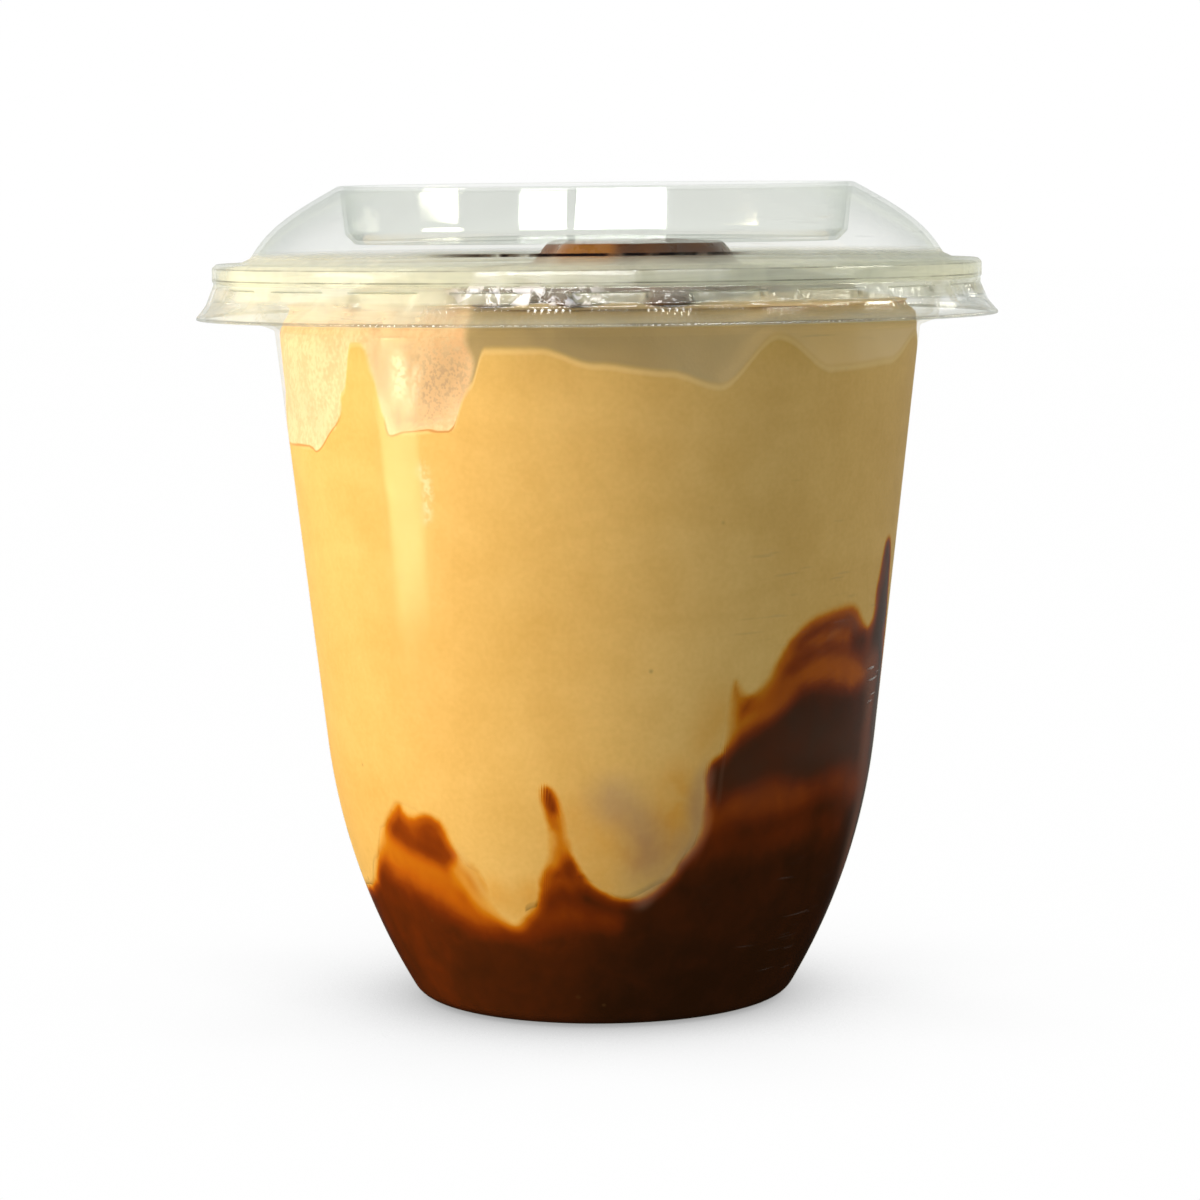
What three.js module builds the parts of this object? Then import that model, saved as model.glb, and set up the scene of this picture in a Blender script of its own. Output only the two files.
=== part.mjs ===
// A clear dessert cup with a clip-on lid, filled with custard ice cream and caramel sauce.
// Millimetres, +Z up, origin at the middle of the foot. Azimuth 0 is the front (-Y), growing towards +X.
import * as THREE from 'three';

// --- Driving dimensions ---------------------------------------------------------------------------

const CUP_WALL = 0.7;             // thickness of the cup's moulded sheet
const LID_WALL = 0.5;             // thickness of the lid's moulded sheet
const CLEARANCE = 0.4;            // gap between pieces that touch

const TAPER = THREE.MathUtils.degToRad(6.4); // lean of the straight wall
const BOWL_TOP = 34;              // height where the straight wall turns into the bowl
const BOWL_TOP_RADIUS = 35.7;     // outer radius there
const BOWL_CURVE = 82;            // radius of the bowl's profile arc
const HEEL_TOP = 1.6;             // height where the bowl's arc turns into the small heel arc
const FOOT_WIDTH = 2.7;           // flat ring that the cup stands on
const RECESS_SLOPE = 1.9;         // width of the sloping step inside the foot ring
const RECESS_HEIGHT = 1.6;        // how far the middle of the base is raised

const SHOULDER = 87;              // height where the wall steps out to the collar
const COLLAR_RADIUS = 44;         // outer radius at the collar's foot
const COLLAR_TOP_RADIUS = 44.7;
const RIM_TOP = 94.7;             // top of the cup's rim
const RIM_RADIUS = 48.6;          // outer radius of the rim
const RIM_DROP = 1.8;             // height of the rim's turned-down edge

const LID_BAND_RADIUS = 49.5;     // the band that goes round the rim
const LID_DECK = RIM_TOP + 0.3 + LID_WALL; // top of the flat ring on the rim
const LID_BAND_FOOT = 93;         // groove under the band
const LID_LIP_RADIUS = 51.6;      // flared lower edge
const LID_LIP = 88.4;             // height of the flared lower edge
const LUG_COUNT = 22;             // clip lugs that hook under the rim
const LUG_DEPTH = 0.9;            // how far a lug stands in
const LUG_STEPS = 3;              // lathe segments for one lug and the gap beside it
const LUG_TURN = THREE.MathUtils.degToRad(9.85); // azimuth of the first gap between lugs
const DOME_FOOT_RADIUS = 45;
const DOME_FILLET = 1.1;          // the soft corner between the deck and the dome
const DOME_TOP = 105.3;
const DOME_TOP_RADIUS = 33.2;
const DOME_BULGE = 1.9;           // how far the dome's side swells beyond a straight cone
const WELL_RADIUS = 31.9;         // the stacking well in the dome
const WELL_FLOOR = 98.35;         // top of the well's floor at its edge
const WELL_CROWN = 0.45;          // how much higher the floor is in the middle

const CUP_SEGMENTS = 48;
const LID_SEGMENTS = LUG_COUNT * LUG_STEPS;
const FOOD_SEGMENTS = 72;

const POOL_LEVEL = 14;            // height of the bottom sauce in the middle of the cup
const SAUCE_HUG = 6;              // how closely the rising sauce hugs the wall
// The bottom sauce's upper edge on the wall: [azimuth in degrees, height].
const SAUCE_EDGE = [
  [-70, 16], [-60, 20.5], [-54, 25], [-47, 28.6], [-38, 27.3], [-29, 21], [-22, 14.5], [-15, 16.5],
  [-10, 31], [-5, 20.5], [5, 17.7], [14, 19.7], [19, 24], [23, 35], [26.5, 44.5], [30, 42.3],
  [40, 50], [54, 52.3], [64, 49.2], [72, 60], [81, 47], [90, 37], [98, 40], [108, 26], [120, 20],
  [131, 24], [140, 36], [146, 33], [156, 22], [168, 27], [178, 42], [187, 36], [196, 24], [212, 17],
  [226, 20], [238, 31], [246, 28], [256, 18], [268, 23], [278, 15],
];
// Where the ice cream leaves the wall: [azimuth in degrees, height].
const CONTACT_EDGE = [
  [-80, 73], [-62, 72.8], [-54, 75.5], [-50, 80], [-46.5, 86], [-43, 86], [-40, 77], [-36, 75.3],
  [-26, 76], [-22, 81], [-19, 85.3], [-10, 85.3], [0, 83.4], [12, 82.4], [21, 80.7], [31.5, 86.6],
  [44, 82.4], [62, 82.9], [76, 86], [95, 81], [118, 84.5], [134, 77], [150, 84], [178, 85.5],
  [196, 81.5], [210, 75], [228, 79], [244, 85], [262, 80],
];

const MOUND_TOP = 93.3;           // top of the low mound that the ice cream forms
const MOUND_FALL = 3.1;           // how much lower it is at its shoulder
const MOUND_SHOULDER = 40;        // radius of the mound's shoulder
const MOUND_EDGE = 90.2;          // height of the mound's shoulder
const PEAK_RISE = 2.9;            // the peak on the mound, which comes up to just under the lid
const PEAK_RADIUS = 15;
const PEAK_FLAT = 8;              // radius of its flat top
const PEAK_OFFSET = 5;            // how far to the right of the middle it stands
const PEAK_RINGS = [PEAK_RADIUS, 12.6, 10.4, PEAK_FLAT]; // radii of the rings up its side
const MOUND_RINGS = [MOUND_SHOULDER, 36.8, 31, 23, ...PEAK_RINGS];
const RECEDE = 0.9;               // gap that opens between ice cream and wall above the contact edge
const TOPPING_GAP = 0.5;          // gap under the poured sauce
const TOPPING_DEPTH = 1.15;       // thickness of the sauce poured on top
const TOPPING_LIP = 0.8;          // thickness at its edge
// How far the poured sauce runs out: [azimuth in degrees, radius].
const TOPPING_EDGE = [
  [-60, 27], [-36, 31], [-20, 39.5], [-12, 36], [-4, 39.5], [3, 35], [12, 39.6], [24, 35], [38, 31],
  [70, 27], [105, 34], [140, 28], [175, 37], [215, 28], [250, 34.5], [275, 28],
];

// --- Profile of the cup ---------------------------------------------------------------------------

const bowlCentre = {
  r: BOWL_TOP_RADIUS - BOWL_CURVE * Math.cos(TAPER),
  z: BOWL_TOP + BOWL_CURVE * Math.sin(TAPER),
};
const heelAngle = Math.asin((bowlCentre.z - HEEL_TOP) / BOWL_CURVE);
const heelCurve = HEEL_TOP / (1 - Math.sin(heelAngle));
const heelCentre = {
  r: bowlCentre.r + (BOWL_CURVE - heelCurve) * Math.cos(heelAngle),
  z: heelCurve,
};

/** Radius of the cup's wall at a height, measured a distance inside its outer face. */
function wallRadius(z, inset) {
  if (z >= BOWL_TOP) {
    return BOWL_TOP_RADIUS + (z - BOWL_TOP) * Math.tan(TAPER) - inset / Math.cos(TAPER);
  }
  const bowlReach = BOWL_CURVE - inset;
  if (z >= bowlCentre.z - bowlReach * Math.sin(heelAngle)) {
    return bowlCentre.r + Math.sqrt(bowlReach ** 2 - (bowlCentre.z - z) ** 2);
  }
  return heelCentre.r + Math.sqrt(Math.max(0, (heelCurve - inset) ** 2 - (heelCentre.z - z) ** 2));
}

/** Points round an arc of the wall, from one angle to another, a distance inside its outer face. */
function wallArc(centre, curve, inset, from, to, steps) {
  return Array.from({ length: steps + 1 }, (_, i) => {
    const angle = THREE.MathUtils.lerp(from, to, i / steps);
    return [centre.r + (curve - inset) * Math.cos(angle), centre.z - (curve - inset) * Math.sin(angle)];
  });
}

/** The base and side of the cup from the axis to the foot of the collar, a distance inside. */
function cupSide(inset) {
  const footInner = heelCentre.r - FOOT_WIDTH;
  return [
    [0, RECESS_HEIGHT + inset],
    [footInner - RECESS_SLOPE + inset / 2, RECESS_HEIGHT + inset],
    [footInner + inset / 2, inset],
    ...wallArc(heelCentre, heelCurve, inset, Math.PI / 2, heelAngle, 3),
    ...wallArc(bowlCentre, BOWL_CURVE, inset, heelAngle, TAPER, 5).slice(1),
    [wallRadius(SHOULDER, inset), SHOULDER],
  ];
}

/** A lathe-turned solid; the profile is [radius, height] pairs. */
function turned(profile, segments) {
  const points = profile.map(([r, z]) => new THREE.Vector2(r, z));
  return new THREE.LatheGeometry(points, segments).rotateX(Math.PI / 2);
}

function cup() {
  const collarStep = COLLAR_RADIUS - CUP_WALL;
  const outside = [
    ...cupSide(0),
    [COLLAR_RADIUS, SHOULDER + 0.9],
    [COLLAR_TOP_RADIUS, RIM_TOP - CUP_WALL - 0.3],
    [RIM_RADIUS - CUP_WALL, RIM_TOP - CUP_WALL],
    [RIM_RADIUS - CUP_WALL, RIM_TOP - RIM_DROP],
    [RIM_RADIUS, RIM_TOP - RIM_DROP],
    [RIM_RADIUS, RIM_TOP - 0.4],
    [RIM_RADIUS - 0.4, RIM_TOP],
  ];
  const inside = [
    ...cupSide(CUP_WALL),
    [collarStep, SHOULDER + 0.9 + CUP_WALL],
    [COLLAR_TOP_RADIUS - CUP_WALL, RIM_TOP - 0.5],
    [COLLAR_TOP_RADIUS, RIM_TOP],
  ];
  return turned([...outside, ...inside.reverse()], CUP_SEGMENTS);
}

// --- The lid --------------------------------------------------------------------------------------

/** A point of the dome's side, from its foot (0) to its top (1). */
function domeSide(t) {
  const { lerp } = THREE.MathUtils;
  const bulge = DOME_BULGE * Math.sin(Math.PI * t);
  return [lerp(DOME_FOOT_RADIUS, DOME_TOP_RADIUS, t) + bulge, lerp(LID_DECK, DOME_TOP, t)];
}

/** The lid's outer face from the flared lip to the middle of the well. */
function lidFace() {
  return [
    [LID_LIP_RADIUS, LID_LIP + 0.3],
    [LID_LIP_RADIUS - 1.2, LID_LIP + 1.8],
    [LID_BAND_RADIUS, LID_BAND_FOOT - 0.5],
    [LID_BAND_RADIUS - 0.2, LID_BAND_FOOT],
    [LID_BAND_RADIUS, LID_BAND_FOOT + 0.3],
    [LID_BAND_RADIUS, LID_DECK - 0.5],
    [LID_BAND_RADIUS - 0.5, LID_DECK],
    [DOME_FOOT_RADIUS + DOME_FILLET, LID_DECK],
    ...[0.07, 0.3, 0.53, 0.76, 1].map(domeSide),
    [WELL_RADIUS + 0.6, DOME_TOP],
    [WELL_RADIUS, WELL_FLOOR + 1],
    [WELL_RADIUS - 1, WELL_FLOOR],
    [WELL_RADIUS / 2, WELL_FLOOR + WELL_CROWN * 0.75],
    [0, WELL_FLOOR + WELL_CROWN],
  ];
}

/** The same face moved in by the sheet's thickness, back from the middle to the lip. */
function lidLining() {
  return [
    [0, WELL_FLOOR + WELL_CROWN - LID_WALL],
    [WELL_RADIUS / 2, WELL_FLOOR + WELL_CROWN * 0.75 - LID_WALL],
    [WELL_RADIUS - 0.8, WELL_FLOOR - LID_WALL],
    [WELL_RADIUS + LID_WALL, WELL_FLOOR + 0.8],
    [WELL_RADIUS + 0.6 + LID_WALL, DOME_TOP - LID_WALL],
    ...[0.76, 0.53, 0.3, 0.07].map(domeSide).map(([r, z]) => [r - LID_WALL, z - LID_WALL * 0.6]),
    [DOME_FOOT_RADIUS + DOME_FILLET - LID_WALL / 2, LID_DECK - LID_WALL],
    [LID_BAND_RADIUS - LID_WALL, LID_DECK - LID_WALL],
    [LID_BAND_RADIUS - LID_WALL, LID_BAND_FOOT - 0.25],
    [LID_BAND_RADIUS - LID_WALL, LID_BAND_FOOT - 0.6],
    [LID_LIP_RADIUS - 1.2 - LID_WALL, LID_LIP + 1.6],
    [LID_LIP_RADIUS - 1, LID_LIP],
    [LID_LIP_RADIUS, LID_LIP],
  ];
}

/** How far the skirt stands in at an azimuth and height: the clip lugs, just under the rim. */
function lugInset(azimuth, z) {
  const lugTop = LID_BAND_FOOT - 0.4;
  const lugFoot = LID_LIP + 1.5;
  if (z > lugTop || z < lugFoot) return 0;
  const step = Math.round(azimuth / (2 * Math.PI) * LID_SEGMENTS) % LUG_STEPS;
  return step === 0 ? 0 : LUG_DEPTH;
}

function lid() {
  const face = lidFace();
  const geometry = turned([...face, ...lidLining(), face[0]], LID_SEGMENTS);
  const place = geometry.attributes.position;
  for (let i = 0; i < place.count; i++) {
    const [x, y, z] = [place.getX(i), place.getY(i), place.getZ(i)];
    const inset = lugInset(Math.atan2(x, -y), z);
    const scale = inset ? 1 - inset / Math.hypot(x, y) : 1;
    place.setXY(i, x * scale, y * scale);
  }
  return geometry.rotateZ(LUG_TURN);
}

// --- The filling ----------------------------------------------------------------------------------

const cavityRadius = (z) => wallRadius(z, CUP_WALL + CLEARANCE);

/** A smooth closed curve through [azimuth, value] pairs, read at an azimuth in radians. */
function roundTrack(pairs) {
  const turn = (degrees) => ((degrees % 360) + 360) % 360;
  const knots = pairs.map(([azimuth, value]) => [turn(azimuth), value]).sort((a, b) => a[0] - b[0]);
  const knot = (i) => {
    const lap = Math.floor(i / knots.length);
    const [azimuth, value] = knots[i - lap * knots.length];
    return { azimuth: azimuth + 360 * lap, value };
  };
  return (azimuth) => {
    const at = turn(THREE.MathUtils.radToDeg(azimuth));
    const i = knots.findLastIndex(([knotAt]) => knotAt <= at);
    const from = knot(i);
    const to = knot(i + 1);
    const t = THREE.MathUtils.smoothstep(at, from.azimuth, to.azimuth);
    return THREE.MathUtils.lerp(from.value, to.value, t);
  };
}

const sauceEdge = roundTrack(SAUCE_EDGE);
const contactEdge = roundTrack(CONTACT_EDGE);
const toppingEdge = roundTrack(TOPPING_EDGE);

/** A point from its radius, azimuth and height. */
function polar(r, azimuth, z) {
  return new THREE.Vector3(r * Math.sin(azimuth), -r * Math.cos(azimuth), z);
}

/** A closed skin through rings of points round the axis; its first and last rings are single points. */
function ringSkin(rings) {
  const points = [];
  const faces = [];
  const rows = rings.map((ring) => ring.map((point) => points.push(point) - 1));
  const far = (a, b) => points[a].distanceToSquared(points[b]);
  for (let row = 1; row < rows.length; row++) {
    const [low, high] = [rows[row - 1], rows[row]];
    for (let i = 0; i < FOOD_SEGMENTS; i++) {
      const next = (i + 1) % FOOD_SEGMENTS;
      if (low.length === 1) faces.push(low[0], high[next], high[i]);
      else if (high.length === 1) faces.push(low[i], low[next], high[0]);
      else if (far(low[i], high[next]) < far(low[next], high[i])) {
        faces.push(low[i], low[next], high[next], low[i], high[next], high[i]);
      } else {
        faces.push(low[i], low[next], high[i], low[next], high[next], high[i]);
      }
    }
  }
  const geometry = new THREE.BufferGeometry().setFromPoints(points);
  geometry.setIndex(faces);
  return geometry;
}

/** One ring: a function of azimuth gives its points. */
function ringOf(point) {
  return Array.from({ length: FOOD_SEGMENTS }, (_, i) => point((i / FOOD_SEGMENTS) * 2 * Math.PI));
}

/** The face between the sauce and the ice cream; u runs from 0 on the axis to 1 at the wall. */
function dividePoint(u, azimuth) {
  const z = THREE.MathUtils.lerp(POOL_LEVEL, sauceEdge(azimuth), u ** SAUCE_HUG);
  return polar(u * cavityRadius(z), azimuth, z);
}

/** The same point moved off that face by a distance, and held inside the cup. */
function besideDivide(u, azimuth, distance) {
  const step = 1e-3;
  const point = dividePoint(u, azimuth);
  const outward = dividePoint(u + step, azimuth).sub(dividePoint(u - step, azimuth));
  const around = dividePoint(u, azimuth + step).sub(dividePoint(u, azimuth - step));
  point.addScaledVector(around.cross(outward).negate().normalize(), distance);
  const reach = Math.min(Math.hypot(point.x, point.y), cavityRadius(point.z));
  const held = u === 1 ? cavityRadius(point.z) : reach;
  return polar(held, Math.atan2(point.x, -point.y), point.z);
}

const DIVIDE_STEPS = [0.4, 0.7, 0.86, 0.95, 1]; // rings of that face, closer at the wall

/** A point of the wall between two others on it. */
function alongWall(from, to, t) {
  const z = THREE.MathUtils.lerp(from.z, to.z, t);
  const heading = new THREE.Vector2(from.x, from.y).normalize()
    .lerp(new THREE.Vector2(to.x, to.y).normalize(), t);
  return polar(cavityRadius(z), Math.atan2(heading.x, -heading.y), z);
}

function caramelSauce() {
  const floor = cupSide(CUP_WALL + CLEARANCE).slice(0, 5);
  const [, ...floorRings] = floor;
  const heel = floor.at(-1);
  const edge = (azimuth) => besideDivide(1, azimuth, -CLEARANCE / 2);
  return ringSkin([
    [polar(0, 0, floor[0][1])],
    ...floorRings.map(([r, z]) => ringOf((azimuth) => polar(r, azimuth, z))),
    ...[0.2, 0.4, 0.6, 0.8].map((t) =>
      ringOf((azimuth) => alongWall(polar(heel[0], azimuth, heel[1]), edge(azimuth), t))),
    ...DIVIDE_STEPS.toReversed().map((u) => ringOf((azimuth) => besideDivide(u, azimuth, -CLEARANCE / 2))),
    [polar(0, 0, POOL_LEVEL - CLEARANCE / 2)],
  ]);
}

/**
 * A point a height above the ice cream's top, which is a low mound with soft folds and a peak.
 * Its rings run round the peak near the middle and round the cup's axis at the shoulder.
 */
function moundPoint(r, azimuth, lift) {
  const out = r / MOUND_SHOULDER;
  const folds = 0.45 * Math.sin(2 * azimuth + 0.6) + 0.3 * Math.sin(5 * azimuth - 1);
  const peak = PEAK_RISE * (1 - THREE.MathUtils.smoothstep(r, PEAK_FLAT, PEAK_RADIUS));
  const mound = MOUND_TOP - MOUND_FALL * out ** 2.2 + folds * out * (1 - out) * 2;
  const point = polar(r, azimuth, mound + peak + lift);
  point.x += PEAK_OFFSET * (1 - out);
  return point;
}

function iceCream() {
  const foot = (azimuth) => besideDivide(1, azimuth, CLEARANCE / 2);
  const contact = (azimuth) => polar(cavityRadius(contactEdge(azimuth)), azimuth, contactEdge(azimuth));
  const receded = (t, inset) => (azimuth) => {
    const z = THREE.MathUtils.lerp(contactEdge(azimuth), MOUND_EDGE, t);
    return polar(cavityRadius(Math.min(z, SHOULDER)) - inset, azimuth, z);
  };
  return ringSkin([
    [polar(0, 0, POOL_LEVEL + CLEARANCE / 2)],
    ...DIVIDE_STEPS.map((u) => ringOf((azimuth) => besideDivide(u, azimuth, CLEARANCE / 2))),
    ...[0.12, 0.3, 0.6, 1].map((t) => ringOf((azimuth) => alongWall(foot(azimuth), contact(azimuth), t))),
    ringOf(receded(0.1, RECEDE)),
    ringOf(receded(0.7, RECEDE)),
    ...MOUND_RINGS.map((r) => ringOf((azimuth) => moundPoint(r, azimuth, 0))),
    [moundPoint(0, 0, 0)],
  ]);
}

/** The sauce poured over the mound; its outer rings follow its wavy edge, t being 1 at that edge. */
function topSauce() {
  const round = (r, depth) => ringOf((azimuth) => moundPoint(r, azimuth, TOPPING_GAP + depth));
  const wavy = (t, depth) => ringOf((azimuth) =>
    moundPoint(THREE.MathUtils.lerp(PEAK_RADIUS, toppingEdge(azimuth), t), azimuth, TOPPING_GAP + depth));
  return ringSkin([
    [moundPoint(0, 0, TOPPING_GAP)],
    ...PEAK_RINGS.toReversed().map((r) => round(r, 0)),
    wavy(0.5, 0),
    wavy(1, 0),
    wavy(0.97, TOPPING_LIP),
    wavy(0.5, TOPPING_DEPTH),
    ...PEAK_RINGS.map((r) => round(r, TOPPING_DEPTH)),
    [moundPoint(0, 0, TOPPING_GAP + TOPPING_DEPTH)],
  ]);
}

// --- The scene ------------------------------------------------------------------------------------

function piece(name, geometry, look) {
  const mesh = new THREE.Mesh(geometry, new THREE.MeshStandardMaterial(look));
  mesh.name = name;
  return mesh;
}

const clear = { roughness: 0.08, metalness: 0, transparent: true };

const tub = new THREE.Group();
tub.add(
  piece('cup', cup(), { ...clear, color: '#e4e9df', opacity: 0.3 }),
  piece('lid', lid(), { ...clear, color: '#dde4d8', opacity: 0.35 }),
  piece('ice_cream', iceCream(), { color: '#f0bf6c', roughness: 0.55, metalness: 0 }),
  piece('caramel_sauce', caramelSauce(), { color: '#4a1f0a', roughness: 0.25, metalness: 0 }),
  piece('top_sauce', topSauce(), { color: '#7a4a1c', roughness: 0.25, metalness: 0 }),
);

export default tub;
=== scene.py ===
"""A clear dessert cup with its lid, filled with custard ice cream and caramel sauce.

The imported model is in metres, +Z up; azimuth 0 is the front (-Y) and grows towards +X.
The lengths below are in millimetres, as on the object; mesh_from() turns them into metres.
"""
from functools import reduce
import math

import bpy
import numpy as np
from mathutils import Matrix, Vector


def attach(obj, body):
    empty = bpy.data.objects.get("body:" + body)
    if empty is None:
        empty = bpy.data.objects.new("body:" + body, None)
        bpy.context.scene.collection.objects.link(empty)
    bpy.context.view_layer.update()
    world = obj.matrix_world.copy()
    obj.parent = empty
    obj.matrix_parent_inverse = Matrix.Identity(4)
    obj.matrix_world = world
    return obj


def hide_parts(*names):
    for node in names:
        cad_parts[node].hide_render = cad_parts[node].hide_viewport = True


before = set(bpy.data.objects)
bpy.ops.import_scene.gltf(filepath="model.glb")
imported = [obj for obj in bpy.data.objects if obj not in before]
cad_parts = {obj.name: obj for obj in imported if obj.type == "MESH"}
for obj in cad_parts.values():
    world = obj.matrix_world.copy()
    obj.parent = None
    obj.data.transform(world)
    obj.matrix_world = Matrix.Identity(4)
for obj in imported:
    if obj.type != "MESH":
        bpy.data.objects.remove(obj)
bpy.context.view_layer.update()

MM = 0.001            # a millimetre, in the scene's metres
WHITE = (1, 1, 1)

# --- Dimensions, as in the CAD part ---

CUP_WALL = 0.7
LID_WALL = 0.5
TAPER = math.radians(6.4)
BOWL_TOP, BOWL_TOP_RADIUS, BOWL_CURVE = 34.0, 35.7, 82.0
HEEL_TOP, FOOT_WIDTH, RECESS_SLOPE, RECESS_HEIGHT = 1.6, 2.7, 1.9, 1.6
SHOULDER, COLLAR_RADIUS, COLLAR_TOP_RADIUS, COLLAR_STEP = 87.0, 44.0, 44.7, 0.9
RIM_TOP, RIM_RADIUS, RIM_DROP, RIM_ROUND = 94.7, 48.6, 1.8, 0.4
LID_BAND_RADIUS, LID_DECK, LID_BAND_FOOT = 49.5, 95.5, 93.0
LID_LIP_RADIUS, LID_LIP = 51.6, 88.4
LIP_REACH, SKIRT_TOP, SKIRT_FOOT = 1.2, LID_BAND_FOOT - 0.5, LID_LIP + 1.8
LUG_COUNT, LUG_DEPTH, LUG_TURN = 22, 0.9, 9.85
DOME_FOOT_RADIUS, DOME_FILLET, DOME_TOP, DOME_TOP_RADIUS, DOME_BULGE = 45.0, 1.1, 105.3, 33.2, 1.9
WELL_RADIUS, WELL_FLOOR, WELL_CROWN, WELL_FLARE = 31.9, 98.35, 0.45, 0.6
POOL_LEVEL, SAUCE_HUG = 14.0, 6
MOUND_TOP, MOUND_FALL, MOUND_SHOULDER, MOUND_EDGE = 93.3, 3.1, 40.0, 90.2
PEAK_RISE, PEAK_OFFSET = 2.9, 5.0
TOPPING_DEPTH, TOPPING_LIP, TOPPING_GAP = 1.15, 0.8, 0.1

LUG_CLEAR = 90.7      # below this height the lid's skirt is clear again
SAUCE_SWELL = 0.75    # the poured sauce, rounder than its solid, fills that solid's gap
PEAK_MIDDLE = 4       # how far the peak lies to the right
PEAK_CREST, PEAK_FOOT = 11.0, 14.2    # the peak's sides, steeper than on its solid, about the same middle
FILL_INSET = 0.06     # the filling's side, within the wall's sheet so that no air shows
RECEDE, RECEDE_RUN = 0.35, 2.2    # how far the ice cream leaves the wall at the top, over how long a way
FLAT_RADIUS = 36.0    # the wall's usual radius, for distances along it
CUP_COLUMNS, LID_COLUMNS, COLUMNS = 288, 528, 720    # steps round the cup, the lid and the filling
SHEET_CREASE, FOOD_CREASE = math.radians(38), math.radians(60)    # edges sharper than this stay sharp

SAUCE_EDGE = [
    (-70, 16), (-60, 20.5), (-54, 25), (-47, 28.6), (-38, 27.3), (-29, 21), (-22, 14.5), (-15, 16.5),
    (-10, 31), (-5, 20.5), (5, 17.7), (14, 19.7), (19, 24), (23, 35), (26.5, 44.5), (30, 42.3),
    (40, 50), (54, 52.3), (64, 49.2), (72, 60), (81, 47), (90, 37), (98, 40), (108, 26), (120, 20),
    (131, 24), (140, 36), (146, 33), (156, 22), (168, 27), (178, 42), (187, 36), (196, 24), (212, 17),
    (226, 20), (238, 31), (246, 28), (256, 18), (268, 23), (278, 15),
]
CONTACT_EDGE = [
    (-80, 73), (-62, 72.8), (-54, 75.5), (-50, 80), (-46.5, 86), (-43, 86), (-40, 77), (-36, 75.3),
    (-26, 76), (-22, 81), (-19, 85.3), (-10, 85.3), (0, 83.4), (12, 82.4), (21, 80.7), (31.5, 86.6),
    (44, 82.4), (62, 82.9), (76, 86), (95, 81), (118, 84.5), (134, 77), (150, 84), (178, 85.5),
    (196, 81.5), (210, 75), (228, 79), (244, 85), (262, 80),
]
TOPPING_EDGE = [
    (-60, 27), (-36, 31), (-20, 39.5), (-12, 36), (-4, 39.5), (3, 35), (12, 39.6), (24, 35), (38, 31),
    (70, 27), (105, 34), (140, 28), (175, 37), (215, 28), (250, 34.5), (275, 28),
]

# --- Small helpers ---


def smooth(t):
    """0 up to t = 0, 1 from t = 1, and an eased step between."""
    t = np.clip(t, 0, 1)
    return t * t * (3 - 2 * t)


def lerp(a, b, t):
    return a + (b - a) * t


def round_track(knots):
    """A smooth closed curve through (azimuth, value) knots, read at azimuths in degrees."""
    knots = sorted((a % 360, v) for a, v in knots)
    at = np.array([a for a, _ in knots] + [knots[0][0] + 360])
    value = np.array([v for _, v in knots] + [knots[0][1]])

    def read(azimuth):
        turn = np.mod(np.asarray(azimuth, float) - at[0], 360) + at[0]
        i = np.clip(np.searchsorted(at, turn, side="right") - 1, 0, len(at) - 2)
        return lerp(value[i], value[i + 1], smooth((turn - at[i]) / (at[i + 1] - at[i])))
    return read


sauce_edge = round_track(SAUCE_EDGE)
contact_edge = round_track(CONTACT_EDGE)
topping_edge = round_track(TOPPING_EDGE)

bowl_r = BOWL_TOP_RADIUS - BOWL_CURVE * math.cos(TAPER)
bowl_z = BOWL_TOP + BOWL_CURVE * math.sin(TAPER)
heel_angle = math.asin((bowl_z - HEEL_TOP) / BOWL_CURVE)
heel_curve = HEEL_TOP / (1 - math.sin(heel_angle))
heel_r = bowl_r + (BOWL_CURVE - heel_curve) * math.cos(heel_angle)


def wall_radius(z, inset=0.0):
    """Radius of the cup's wall at heights z, a distance inside its outer face."""
    z = np.asarray(z, float)
    reach = BOWL_CURVE - inset
    cone = BOWL_TOP_RADIUS + (z - BOWL_TOP) * math.tan(TAPER) - inset / math.cos(TAPER)
    bowl = bowl_r + np.sqrt(np.clip(reach ** 2 - (bowl_z - z) ** 2, 0, None))
    heel = heel_r + np.sqrt(np.clip((heel_curve - inset) ** 2 - (heel_curve - z) ** 2, 0, None))
    return np.where(z >= BOWL_TOP, cone, np.where(z >= bowl_z - reach * math.sin(heel_angle), bowl, heel))


def arc(centre_r, centre_z, radius, start, end, steps):
    """Profile points on an arc; angle 0 points outwards and a quarter turn down."""
    angles = np.linspace(start, end, steps + 1)
    return [(centre_r + radius * math.cos(a), centre_z - radius * math.sin(a)) for a in angles]


def cup_side(inset, bowl_steps=28, wall_steps=12):
    """The cup's base and side from the axis to the foot of the collar, a distance inside."""
    foot_inner = heel_r - FOOT_WIDTH
    top = [(float(wall_radius(z, inset)), z) for z in np.linspace(BOWL_TOP, SHOULDER, wall_steps + 1)]
    return [
        (0, RECESS_HEIGHT + inset),
        (foot_inner - RECESS_SLOPE + inset / 2, RECESS_HEIGHT + inset),
        (foot_inner + inset / 2, inset),
        *arc(heel_r, heel_curve, heel_curve - inset, math.pi / 2, heel_angle, 8),
        *arc(bowl_r, bowl_z, BOWL_CURVE - inset, heel_angle, TAPER, bowl_steps)[1:-1],
        *top,
    ]


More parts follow.
